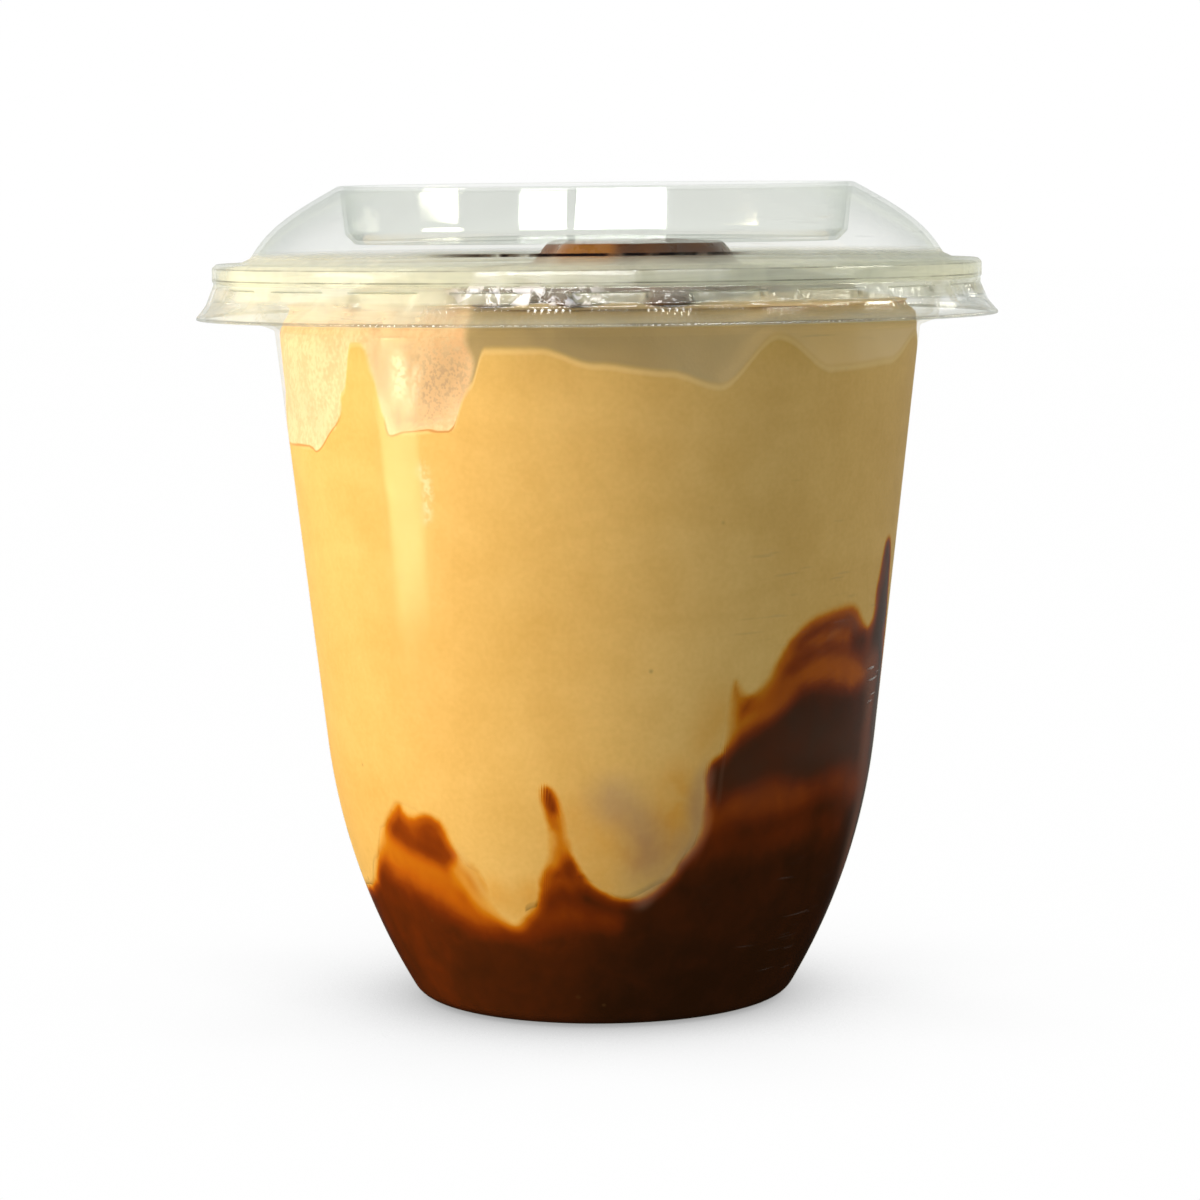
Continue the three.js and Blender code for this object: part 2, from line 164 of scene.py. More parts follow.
def eased(profile, radius, steps=3, sharpest=math.radians(14)):
    """The profile with its corners rounded by small arcs; a third number is a corner's own radius."""
    out = [profile[0][:2]]
    for before, corner, after in zip(profile, profile[1:], profile[2:]):
        b, c, a = (np.array(p[:2], float) for p in (before, corner, after))
        back, ahead = b - c, a - c
        back_length, ahead_length = np.linalg.norm(back), np.linalg.norm(ahead)
        if min(back_length, ahead_length) < 1e-6:
            continue
        turn = math.pi - math.acos(np.clip(back @ ahead / back_length / ahead_length, -1, 1))
        if turn < sharpest:
            out.append(corner[:2])
            continue
        own = corner[2] if len(corner) > 2 else radius
        cut = min(own * math.tan(turn / 2), back_length * 0.45, ahead_length * 0.45)
        start, end = c + back / back_length * cut, c + ahead / ahead_length * cut
        for t in np.linspace(0, 1, steps + 1):
            out.append(tuple((1 - t) ** 2 * start + 2 * t * (1 - t) * c + t ** 2 * end))
    out.append(profile[-1][:2])
    return out


def mesh_from(name, points, faces, crease=SHEET_CREASE):
    """A smooth-shaded object from points in millimetres, placed on the root body."""
    mesh = bpy.data.meshes.new(name)
    mesh.from_pydata((np.asarray(points) * MM).tolist(), [], faces)
    mesh.validate()
    mesh.shade_smooth()
    mesh.set_sharp_from_angle(angle=crease)
    made = bpy.data.objects.new(name, mesh)
    bpy.context.scene.collection.objects.link(made)
    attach(made, "root")
    return made


def grid_faces(rows, columns, close_rows=False):
    """Quads of a grid of points that runs round in columns, row after row."""
    faces = []
    for row in range(rows if close_rows else rows - 1):
        low, high = row * columns, (row + 1) % rows * columns
        for i in range(columns):
            j = (i + 1) % columns
            faces.append((low + i, low + j, high + j, high + i))
    return faces


def polar(r, azimuth, z):
    """Points from radii, azimuths in degrees and heights."""
    a = np.radians(azimuth)
    return np.stack(np.broadcast_arrays(r * np.sin(a), -r * np.cos(a), z), -1)


def turned(name, profile, columns, shape=None):
    """A solid turned from a profile that starts and ends on the axis, or closes on itself."""
    azimuths = np.arange(columns) * 360 / columns
    on_axis = profile[0][0] == 0
    body = profile[1:-1] if on_axis else profile[:-1]
    rings = []
    for r, z in body:
        inset = shape(azimuths, z, r) if shape else 0
        rings.append(polar(r - inset, azimuths, z))
    points = np.concatenate(rings)
    faces = grid_faces(len(body), columns, close_rows=not on_axis)
    if on_axis:
        first, last = len(points), len(points) + 1
        points = np.concatenate([points, [[0, 0, profile[0][1]], [0, 0, profile[-1][1]]]])
        end = (len(body) - 1) * columns
        for i in range(columns):
            j = (i + 1) % columns
            faces.append((first, j, i))
            faces.append((last, end + i, end + j))
    return mesh_from(name, points, faces)


def around(made):
    """Azimuth in degrees, radius and height of an object's vertices."""
    co = np.empty(len(made.data.vertices) * 3)
    made.data.vertices.foreach_get("co", co)
    x, y, z = co.reshape(-1, 3).T / MM
    return np.degrees(np.arctan2(x, -y)), np.hypot(x, y), z


def paint(made, name, values):
    """Keeps a number for each vertex, which a material reads."""
    layer = made.data.attributes.new(name, "FLOAT", "POINT")
    layer.data.foreach_set("value", np.ascontiguousarray(values, dtype=np.float32))


def flat(azimuth, z):
    """The wall rolled out flat, in millimetres, about azimuth 0."""
    return np.radians(azimuth) * FLAT_RADIUS, z


def curved(path, closed=False, steps=5):
    """A smooth line through a path's points (a Catmull-Rom curve)."""
    p = np.array(path, float)
    if closed:
        p = np.concatenate([p[-1:], p, p[:2]])
    else:
        p = np.concatenate([2 * p[:1] - p[1:2], p, 2 * p[-1:] - p[-2:-1]])
    out = []
    for a, b, c, d in zip(p, p[1:], p[2:], p[3:]):
        for t in np.arange(steps) / steps:
            out.append(0.5 * (2 * b + (c - a) * t + (2 * a - 5 * b + 4 * c - d) * t ** 2
                              + (3 * b - a - 3 * c + d) * t ** 3))
    out.append(p[-2])
    return np.array(out)


def line_distance(x, y, path):
    """Distance of flat points from a line, in millimetres; the line's points are (azimuth, height)."""
    px, py = flat(path[:, 0], path[:, 1])
    best = np.full(x.shape, 1e9)
    for ax, ay, bx, by in zip(px, py, px[1:], py[1:]):
        if np.hypot(bx - ax, by - ay) < 1e-9:
            continue
        t = np.clip(((x - ax) * (bx - ax) + (y - ay) * (by - ay)) / ((bx - ax) ** 2 + (by - ay) ** 2), 0, 1)
        best = np.minimum(best, np.hypot(x - ax - t * (bx - ax), y - ay - t * (by - ay)))
    return best


# --- Materials ---


class Nodes:
    """A shader's node tree, with short calls for the nodes used here."""

    def __init__(self, owner, output="Material"):
        owner.use_nodes = True
        self.owner, self.tree = owner, owner.node_tree
        self.tree.nodes.clear()
        self.output = self.add("Output" + output)

    def add(self, kind, inputs=None, **settings):
        node = self.tree.nodes.new("ShaderNode" + kind)
        for key, value in settings.items():
            setattr(node, key, value)
        for key, value in (inputs or {}).items():
            self.put(node.inputs[key], value)
        return node

    def put(self, socket, value):
        """Links a socket to another, or sets it to a number or colour."""
        if isinstance(value, bpy.types.NodeSocket):
            self.tree.links.new(value, socket)
        elif isinstance(value, (tuple, list)) and len(value) == 3 and len(socket.default_value) == 4:
            socket.default_value = (*value, 1)
        else:
            socket.default_value = value

    def math(self, operation, a, b=0.0, clamp=False):
        return self.add("Math", {0: a, 1: b}, operation=operation, use_clamp=clamp).outputs[0]

    def times(self, *values):
        return reduce(lambda a, b: self.math("MULTIPLY", a, b), values)

    def plus(self, *values):
        return reduce(lambda a, b: self.math("ADD", a, b), values)

    def most(self, *values):
        return reduce(lambda a, b: self.math("MAXIMUM", a, b), values)

    def swing(self, value, amount):
        """A noise about 0.5 as a swing about 0."""
        return self.times(self.math("SUBTRACT", value, 0.5), amount)

    def step(self, value, low, high, to_low=0.0, to_high=1.0):
        """A smooth step of a value between two limits."""
        return self.add("MapRange", {"Value": value, "From Min": low, "From Max": high, "To Min": to_low,
                                     "To Max": to_high}, interpolation_type="SMOOTHSTEP").outputs[0]

    def fade(self, value, low, high):
        """A smooth step down from 1 to 0."""
        return self.step(value, low, high, 1.0, 0.0)

    def between(self, value, low, high, soft):
        """1 where a value lies between two limits, softly."""
        return self.times(self.step(value, low, low + soft), self.fade(value, high - soft, high))

    def mix(self, factor, a, b, blend="MIX"):
        node = self.add("Mix", {"Factor": factor, 6: a, 7: b}, data_type="RGBA", blend_type=blend)
        return node.outputs[2]

    def blend(self, factor, a, b):
        """Shader a, or b where the factor is 1."""
        return self.add("MixShader", {0: factor, 1: a, 2: b}).outputs[0]

    def shader(self, kind, colour, **inputs):
        return self.add(kind, {"Color": colour, **inputs}).outputs[0]

    def ramp(self, value, stops):
        node = self.add("ValToRGB", {"Fac": value})
        elements = node.color_ramp.elements
        while len(elements) < len(stops):
            elements.new(0.5)
        for element, (position, colour) in zip(elements, stops):
            element.position = position
            element.color = (*colour, 1)
        return node.outputs[0]

    def on_object(self):
        return self.add("TexCoord").outputs["Object"]

    def place(self):
        """The sockets X, Y and Z of the place on the object, in metres."""
        return self.add("SeparateXYZ", {"Vector": self.on_object()}).outputs

    def noise(self, scale, detail=3.0, stretch=(1, 1, 1), distortion=0.0):
        """Noise over the object, its scale in patches per metre."""
        place = self.add("Mapping", {"Vector": self.on_object(), "Scale": stretch}).outputs[0]
        return self.add("TexNoise", {"Vector": place, "Scale": scale, "Detail": detail,
                                     "Distortion": distortion, "Roughness": 0.55}).outputs["Fac"]

    def cells(self, scale):
        """Round cells, with their Distance and Color."""
        return self.add("TexVoronoi", {"Vector": self.on_object(), "Scale": scale}, feature="F1").outputs

    def attribute(self, name):
        return self.add("Attribute", attribute_name=name).outputs["Fac"]

    def bump(self, height, distance, strength=1.0, normal=None):
        node = self.add("Bump", {"Height": height, "Distance": distance, "Strength": strength})
        if normal is not None:
            self.put(node.inputs["Normal"], normal)
        return node.outputs[0]

    def surface(self, shader):
        self.put(self.output.inputs["Surface"], shader)
        return self.owner


def material_nodes(name):
    return Nodes(bpy.data.materials.new(name))


# Clear sheet: how it mirrors face on and how fast that grows, the milky bends' colour, its wear and painted
# glints; then dried sauce, and the painted shade of dark lines along its bends.
MIRROR_FACE_ON, MIRROR_POWER = 0.040, 4.5
CLOUD, CLOUD_THROUGH = (0.47, 0.485, 0.385), (0.30, 0.31, 0.25)
SCRATCH = (0.80, 0.74, 0.62)
DRIED_SAUCE, BEND_SHADE = (0.16, 0.07, 0.02), (0.30, 0.29, 0.22)
LIP_RIBS = 380.0    # ribs round the flared lip


def wear_and_painted_glints(n, skin, waves):
    """Wear over a clear skin, level scratches on the right and nicks along its edge, and painted glints on
    the lugs: white marks that stand in for highlights.
    """
    place = n.place()
    level = n.noise(900, 1, (0.12, 0.12, 1.6))
    scuffs = n.times(n.step(level, 0.66, 0.78), n.step(waves, 0.48, 0.62),
                     n.step(place["X"], 0.010, 0.026, 0.0, 0.13))
    edge = n.times(n.step(place["X"], 0.0335, 0.0350), n.fade(place["Y"], -0.012, -0.005),
                   n.step(place["Z"], 0.033, 0.037), n.fade(place["Z"], 0.048, 0.053))
    nicks = n.times(n.step(level, 0.62, 0.70), edge, 0.6)
    # Painted highlight: white marks on the lugs in front stand in for glints of light.
    painted_glint_zone = n.attribute("glint")
    glints = n.times(painted_glint_zone, n.step(n.noise(560, 3, (1, 1, 0.7), 1.0), 0.50, 0.60, 0.0, 0.8))
    pale = n.shader("BsdfDiffuse", n.mix(painted_glint_zone, SCRATCH, WHITE))
    return n.blend(n.most(scuffs, nicks, glints), skin, pale)


def clear_sheet(name, tint, edge_tint, grazing, rough, haze, relief=None, marks=()):
    """Clear thin plastic: see-through, tinted where it is looked along, with a glossy skin."""
    n = material_nodes(name)
    facing = n.add("LayerWeight", {"Blend": 0.5}).outputs["Facing"]
    body = n.mix(n.step(facing, 0.55, 1.0), tint, edge_tint)
    for mark, colour in marks:
        body = n.mix(mark(n), body, colour)
    waves = n.noise(70, 2, (1, 1, 0.5))
    normal = n.bump(waves, 0.0009, 0.3)
    if relief:
        normal = relief(n, normal)
    gloss = n.shader("BsdfGlossy", WHITE, Roughness=n.step(waves, 0.3, 0.75, *rough), Normal=normal)
    # How much a thin sheet mirrors: a little face on, nearly all at a grazing angle.
    mirror = n.plus(MIRROR_FACE_ON, n.times(grazing, n.math("POWER", facing, MIRROR_POWER)))
    skin = n.blend(mirror, n.shader("BsdfTransparent", body), gloss)
    cloud = n.add("AddShader", {0: n.shader("BsdfDiffuse", CLOUD),
                                1: n.shader("BsdfTranslucent", CLOUD_THROUGH)}).outputs[0]
    skin = n.blend(haze(n), skin, cloud)
    # Light passes through the sheet on its way to the filling and the floor.
    shadow = n.add("LightPath").outputs["Is Shadow Ray"]
    return n.surface(n.blend(shadow, wear_and_painted_glints(n, skin, waves), n.shader("BsdfTransparent", tint)))


def bend_haze(n):
    """The milky places, in fine streaks along the band and unevenly over the lugs."""
    streaks = n.noise(260, 3, (0.14, 0.14, 1.8), 0.4)
    uneven = n.noise(110, 3, (1, 1, 0.5), 0.6)
    return n.times(n.attribute("milky"), n.step(streaks, 0.32, 0.66, 0.62, 0.95),
                   n.step(uneven, 0.35, 0.62, 0.70, 1.0))


def skirt_relief(n, normal):
    """Fine upright ribs round the lid's flared lip, and pressed dimples between the lugs."""
    place = n.place()
    lugs = n.times(n.step(place["Z"], LUG_CLEAR * MM, (LUG_CLEAR + 0.5) * MM),
                   n.fade(place["Z"], (LID_BAND_FOOT - 0.5) * MM, LID_BAND_FOOT * MM))
    normal = n.bump(n.times(n.noise(620, 2, (1, 1, 0.7)), lugs), 0.0007, 0.8, normal)
    ribs = n.math("SINE", n.times(n.math("ARCTAN2", place["X"], place["Y"]), LIP_RIBS))
    lip = n.fade(place["Z"], (LID_LIP + 1.6) * MM, (LID_LIP + 2.2) * MM)
    return n.bump(n.times(ribs, lip), 0.00012, 0.6, normal)


def deck_smear(n):
    """A thin run of sauce along the foot of the dome, in front."""
    place = n.place()
    return n.times(n.between(place["Z"], (LID_DECK + 0.95) * MM, (LID_DECK + 1.45) * MM, 0.15 * MM),
                   n.step(place["X"], -0.022, -0.012), n.fade(place["X"], 0.012, 0.020),
                   n.step(place["Y"], -0.034, -0.039), n.step(n.noise(420, 2, (1, 1, 0.4)), 0.3, 0.5))


def painted_bend_shade(n):
    """Painted shade: dark lines where the clear sheet bends sharply, along the band, round the lip and at the
    lugs' ends.
    """
    z = n.place()["Z"]
    lines = []
    for middle, half, strength in ((LID_DECK - 0.55, 0.13, 0.5), (LID_BAND_FOOT + 0.5, 0.14, 0.6),
                                   (LID_LIP + 0.25, 0.22, 0.55)):
        line = n.between(z, (middle - half) * MM, (middle + half) * MM, 0.6 * half * MM)
        lines.append(n.times(line, strength))
    broken = n.step(n.noise(150, 2, (1, 1, 0.3)), 0.3, 0.6, 0.35, 1.0)
    ends = n.times(n.step(n.attribute("lug_end"), 0.25, 0.9), 0.6)
    return n.most(n.times(n.most(*lines), n.attribute("outer"), broken), ends)


def lid_haze(n):
    """The lid's milky places, clear along its dark lines."""
    return n.times(bend_haze(n), n.math("SUBTRACT", 1.0, n.most(painted_bend_shade(n), deck_smear(n))))


# Light colour of the filling by how much sauce lies over it, from none (0) to deep (DEEPEST).
DEEPEST = 1.25
SAUCE_DEPTHS = [
    (0.0, (0.80, 0.50, 0.135)), (0.16, (0.72, 0.35, 0.050)), (0.28, (0.60, 0.19, 0.003)),
    (0.38, (0.48, 0.105, 0.0008)), (0.52, (0.26, 0.044, 0.0008)), (0.64, (0.165, 0.025, 0.001)),
    (0.80, (0.080, 0.0160, 0.0014)), (0.94, (0.047, 0.0120, 0.0014)), (1.0, (0.038, 0.0105, 0.001)),
]
UNEVEN = 0.02    # how much the custard's tone varies
SPECK, GREY_VEIL = (0.16, 0.075, 0.02), (0.36, 0.215, 0.125)
# Where the ice cream leaves the wall: two tans in front, darkened as painted shade of the gap behind the
# wall, two at the right, and the pale line at their foot.
SHADED_TAN_FRONT, TAN_RIGHT = [(0.40, 0.275, 0.092), (0.45, 0.33, 0.14)], [(0.84, 0.56, 0.20), (0.90, 0.64, 0.28)]
CONTACT_LINE = (0.95, 0.72, 0.30)
FROST_TONES, FROST_GREY = [(0.88, 0.55, 0.27), (0.95, 0.68, 0.36)], (0.70, 0.46, 0.22)
# The last of these is the warm white of the painted highlights.
FROST_GRIT, FROST_RIM, SPARKLE_TONE = (0.50, 0.33, 0.18), (0.62, 0.24, 0.05), (1.0, 0.86, 0.50)
# The open top's custard is painted lighter than the side's, to make up for the dim light under the lid.
CROWN_BRIGHTENED_TONES = [(0.74, 0.52, 0.20), (0.90, 0.69, 0.34)]


def custard_and_sauce(n, broad, fine, grain, wobble):
    """Colour of the custard with the sauce over it, and how thick that sauce is."""
    inside = n.step(n.plus(n.attribute("sauce_side"), wobble), -0.85, 0.60)
    film = n.times(n.attribute("stain"), n.step(fine, 0.25, 0.75, 0.6, 1.3))
    drift = n.plus(n.swing(broad, 0.55), n.swing(fine, 0.34))
    thick = n.times(n.most(n.times(n.attribute("sauce_depth"), inside), film), n.plus(1.0, drift))
    colour = n.ramp(n.math("DIVIDE", thick, DEEPEST, clamp=True), SAUCE_DEPTHS)
    # The custard's own slight unevenness.
    tone = n.step(broad, 0.3, 0.72, 0.935, 1.02)
    for source in (fine, n.noise(55, 3, (0.8, 0.8, 3.0), 0.8), grain):
        tone = n.plus(tone, n.step(source, 0.3, 0.7, -UNEVEN, UNEVEN))
    custard_tone = n.add("CombineColor", {"Red": tone, "Green": n.math("POWER", tone, 1.4),
                                          "Blue": n.math("POWER", tone, 2.6)}).outputs[0]
    colour = n.mix(n.fade(thick, 0.0, 0.35), colour, n.mix(1.0, colour, custard_tone, "MULTIPLY"))
    # Vanilla specks and small pores.
    pores = n.cells(330)
    chosen = n.step(n.add("SeparateColor", {"Color": pores["Color"]}).outputs[0], 0.93, 0.96)
    colour = n.mix(n.times(n.fade(pores["Distance"], 0.05, 0.16), chosen, 0.45), colour, SPECK)
    # Pinkish-grey veil where a film of sauce and frost lies between the custard and the wall.
    veil = n.times(n.attribute("veil"), n.step(fine, 0.25, 0.7, 0.6, 1.0))
    return n.mix(n.times(veil, 0.75), colour, GREY_VEIL), thick


def leaving_wall(n, colour, broad, above):
    """Where the ice cream comes away from the wall: a pale line, and a duller tan above it, darker in front
    as painted shade of the gap.
    """
    side_on = n.step(n.place()["X"], 0.0, 0.030)
    # Painted shade: the tan is darker in front than at the right, where the gap behind the wall lies in
    # shade.
    tan = n.mix(n.step(broad, 0.35, 0.65), *[n.mix(side_on, *tones) for tones in zip(SHADED_TAN_FRONT, TAN_RIGHT)])
    line = n.times(n.step(above, -0.6, -0.1), n.fade(above, 0.0, 0.5))
    colour = n.mix(n.step(above, -0.2, 0.9), colour, tan)
    return n.mix(n.times(line, 0.38), colour, CONTACT_LINE)


def frosted(n, colour, broad, fine, grain, wobble):
    """Pale peach frost with a thin orange border, greyer and speckled with bubbles in places, and painted
    highlights: bright sparkles mottled like bubbles.
    """
    frost = n.plus(n.attribute("frost"), n.times(wobble, 0.10))
    speckle = n.attribute("speckle")
    bubble = n.fade(n.cells(2300)["Distance"], 0.15, 0.50)
    grit = n.times(n.most(bubble, n.step(grain, 0.48, 0.62)), speckle)
    patch = n.mix(n.step(n.plus(n.times(fine, 0.5), n.times(grain, 0.5)), 0.40, 0.60), *FROST_TONES)
    patch = n.mix(n.times(n.step(broad, 0.42, 0.60), speckle), patch, FROST_GREY)
    patch = n.mix(n.times(grit, 0.75), patch, FROST_GRIT)
    colour = n.mix(n.times(n.step(frost, 0.30, 0.66), 0.92), colour, patch)
    border = n.times(n.step(frost, 0.20, 0.36), n.fade(frost, 0.40, 0.56), n.attribute("frost_line"))
    colour = n.mix(n.times(border, 0.8), colour, FROST_RIM)
    # Painted highlight: bright sparkles, mottled like the bubbles, in a highlight's warm white.
    sparkle_mottle = n.step(n.most(bubble, n.step(grain, 0.42, 0.58)), 0.1, 0.8, 0.25, 1.0)
    return n.mix(n.times(n.attribute("painted_sparkle"), sparkle_mottle, 0.9), colour, SPARKLE_TONE)


def filling(name, shine):
    """Ice cream and sauce behind the wall, coloured by the vertex attributes of paint_wall."""
    n = material_nodes(name)
    broad = n.noise(34, 3, (1, 1, 0.7), 0.6)
    fine = n.noise(260, 4, (1, 1, 0.8), 0.3)
    grain = n.noise(1500, 3)
    wobble = n.swing(fine, 1.1)
    above = n.plus(n.attribute("above_contact"), n.times(wobble, 0.25))
    colour, thick = custard_and_sauce(n, broad, fine, grain, wobble)
    colour = leaving_wall(n, colour, broad, above)
    colour = frosted(n, colour, broad, fine, grain, wobble)
    # The open top under the lid, creamy and uneven, painted a lighter custard to make up for the dim light
    # under the lid.
    crown = n.mix(n.step(n.plus(n.times(broad, 0.6), n.times(fine, 0.4)), 0.40, 0.60), *CROWN_BRIGHTENED_TONES)
    colour = n.mix(n.attribute("crown"), colour, crown)
    height = n.plus(n.times(fine, 0.7), n.times(grain, 0.3))
    normal = n.bump(height, 0.00022, n.step(n.step(above, 0.0, 0.8), 0, 1, 0.10, 0.75))
    return n.surface(n.add("BsdfPrincipled", {
        "Base Color": colour, "Roughness": n.step(thick, 0.2, 0.8, *shine), "Specular IOR Level": 0.03,
        "Normal": normal}).outputs[0])


# The poured sauce by its depth, from thin and amber to thick and brown.
POURED_DEPTHS = [
    (0.25, (0.50, 0.24, 0.045)), (0.48, (0.25, 0.094, 0.011)),
    (0.72, (0.16, 0.063, 0.017)), (1.0, (0.070, 0.028, 0.010)),
]


def poured(name):
    """Glossy caramel on top: amber where it is thin, brown where it lies thick."""
    n = material_nodes(name)
    broad = n.noise(60, 3, distortion=0.8)
    fine = n.noise(420, 3)
    depth = n.times(n.attribute("sauce_depth"), n.step(broad, 0.25, 0.75, 0.80, 1.15))
    return n.surface(n.add("BsdfPrincipled", {
        "Base Color": n.ramp(depth, POURED_DEPTHS), "Roughness": n.step(fine, 0.3, 0.7, 0.22, 0.36),
        "Specular IOR Level": 0.22, "Normal": n.bump(n.plus(broad, n.times(fine, 0.12)), 0.0006, 0.5),
        "Coat Weight": 0.1, "Coat Roughness": 0.08}).outputs[0])


# --- Cup and lid ---

# How milky the plastic is at each of these places, and how much less so at the sides' ends.
MILKY = {"cup_rim": 0.5, "gap": 0.14, "side_gap": 0.62, "lug": 0.60, "left_lug": 0.85,
         "band": 0.80, "lip": 0.35, "left_skirt": 0.55}
CLEAR_LEFT_END, CLEAR_RIGHT_END = 0.7, 0.5


def cup_shell():
    """The cup as one sheet: up its outside to the rolled rim, and down its inside."""
    outside = [
        *cup_side(0),
        (COLLAR_RADIUS, SHOULDER + COLLAR_STEP),
        (COLLAR_TOP_RADIUS, RIM_TOP - CUP_WALL - 0.3),
        (RIM_RADIUS - CUP_WALL, RIM_TOP - CUP_WALL),
        (RIM_RADIUS - CUP_WALL, RIM_TOP - RIM_DROP),
        (RIM_RADIUS, RIM_TOP - RIM_DROP),
        (RIM_RADIUS, RIM_TOP - RIM_ROUND),
        (RIM_RADIUS - RIM_ROUND, RIM_TOP),
    ]
    inside = [
        *cup_side(CUP_WALL),
        (COLLAR_RADIUS - CUP_WALL, SHOULDER + COLLAR_STEP + CUP_WALL),
        (COLLAR_TOP_RADIUS - CUP_WALL, RIM_TOP - 0.5),
        (COLLAR_TOP_RADIUS, RIM_TOP),
    ]
    made = turned("cup_shell", eased([*outside, *inside[::-1]], 0.5), CUP_COLUMNS)
    _, r, z = around(made)
    rim = smooth((r - COLLAR_TOP_RADIUS) / 1.5) * smooth((z - SHOULDER - 2) / 2)
    paint(made, "milky", MILKY["cup_rim"] * rim)
    return made


def dome_side(t):
    """The dome's side from its foot (t = 0) to its top (t = 1)."""
    return (lerp(DOME_FOOT_RADIUS, DOME_TOP_RADIUS, t) + DOME_BULGE * math.sin(math.pi * t),
            lerp(LID_DECK, DOME_TOP, t))


def lug_inset(azimuths, z, r):
    """How far the skirt stands in: clip lugs under the rim, with slanted ends."""
    top, foot = LID_BAND_FOOT - 0.4, LID_LIP + 1.5
    if r < LID_BAND_RADIUS - 3 or not foot < z < top:
        return np.zeros_like(azimuths)
    pitch = 360 / LUG_COUNT
    from_gap = np.abs((azimuths - LUG_TURN + pitch / 2) % pitch - pitch / 2)
    down = (top - z) / (top - foot)
    half_gap = lerp(2.6, 4.3, down)
    return LUG_DEPTH * smooth((from_gap - half_gap + 0.7) / 1.4) * smooth(min(down, 1 - down) * 7)


def well_floor(r):
    """A profile point on the well's crowned floor."""
    return r, WELL_FLOOR + WELL_CROWN * (1 - (r / (WELL_RADIUS - 1)) ** 2)


def lid_shell():
    """The lid as one sheet: its lining from the well to the lip, and its face back up to the well."""
    steps = np.linspace(0.07, 1, 14)
    crown = [24.0, 16.0, 8.0, 0.0]
    well_side = [(WELL_RADIUS + WELL_FLARE * t, lerp(WELL_FLOOR + 1, DOME_TOP, t))
                 for t in (0.92, 0.75, 0.5, 0.25, 0.08)]
    skirt = np.linspace(SKIRT_TOP, SKIRT_FOOT, 11)[1:-1]
    skirt_radius = lerp(LID_BAND_RADIUS, LID_LIP_RADIUS - LIP_REACH,
                        (SKIRT_TOP - skirt) / (SKIRT_TOP - SKIRT_FOOT))
    face = [
        (LID_LIP_RADIUS, LID_LIP + 0.3),
        (LID_LIP_RADIUS - LIP_REACH, SKIRT_FOOT),
        *zip(skirt_radius[::-1], skirt[::-1]),
        (LID_BAND_RADIUS, SKIRT_TOP),
        (LID_BAND_RADIUS - 0.2, LID_BAND_FOOT),
        (LID_BAND_RADIUS, LID_BAND_FOOT + 0.3),
        (LID_BAND_RADIUS, LID_DECK - 0.5),
        (LID_BAND_RADIUS - 0.5, LID_DECK),
        (DOME_FOOT_RADIUS + DOME_FILLET, LID_DECK, 1.6),
        *[dome_side(t) for t in steps],
        (WELL_RADIUS + WELL_FLARE, DOME_TOP),
        *well_side,
        (WELL_RADIUS, WELL_FLOOR + 1),
        (WELL_RADIUS - 1, WELL_FLOOR),
        *[well_floor(r) for r in crown],
    ]
    lining = [
        *[(r, z - LID_WALL) for r, z in (well_floor(r) for r in crown[::-1])],
        (WELL_RADIUS - 0.8, WELL_FLOOR - LID_WALL),
        (WELL_RADIUS + LID_WALL, WELL_FLOOR + 0.8),
        *[(r + LID_WALL, z - LID_WALL * t) for (r, z), t in zip(well_side[::-1], (0.1, 0.3, 0.5, 0.75, 0.9))],
        (WELL_RADIUS + WELL_FLARE + LID_WALL, DOME_TOP - LID_WALL),
        *[(r - LID_WALL, z - LID_WALL * 0.6) for r, z in (dome_side(t) for t in steps[-2::-1])],
        (DOME_FOOT_RADIUS + DOME_FILLET - LID_WALL / 2, LID_DECK - LID_WALL, 1.2),
        (LID_BAND_RADIUS - LID_WALL, LID_DECK - LID_WALL),
        (LID_BAND_RADIUS - LID_WALL, LID_BAND_FOOT - 0.25),
        (LID_BAND_RADIUS - LID_WALL, LID_BAND_FOOT - 0.6),
        *[(r - LID_WALL, z) for r, z in zip(skirt_radius, skirt)],
        (LID_LIP_RADIUS - LIP_REACH - LID_WALL, LID_LIP + 1.6),
        (LID_LIP_RADIUS - 1, LID_LIP),
        (LID_LIP_RADIUS, LID_LIP),
    ]
    made = turned("lid_shell", eased([*lining, *face], 0.45, 2), LID_COLUMNS, lug_inset)
    paint_lid(made)
    return made


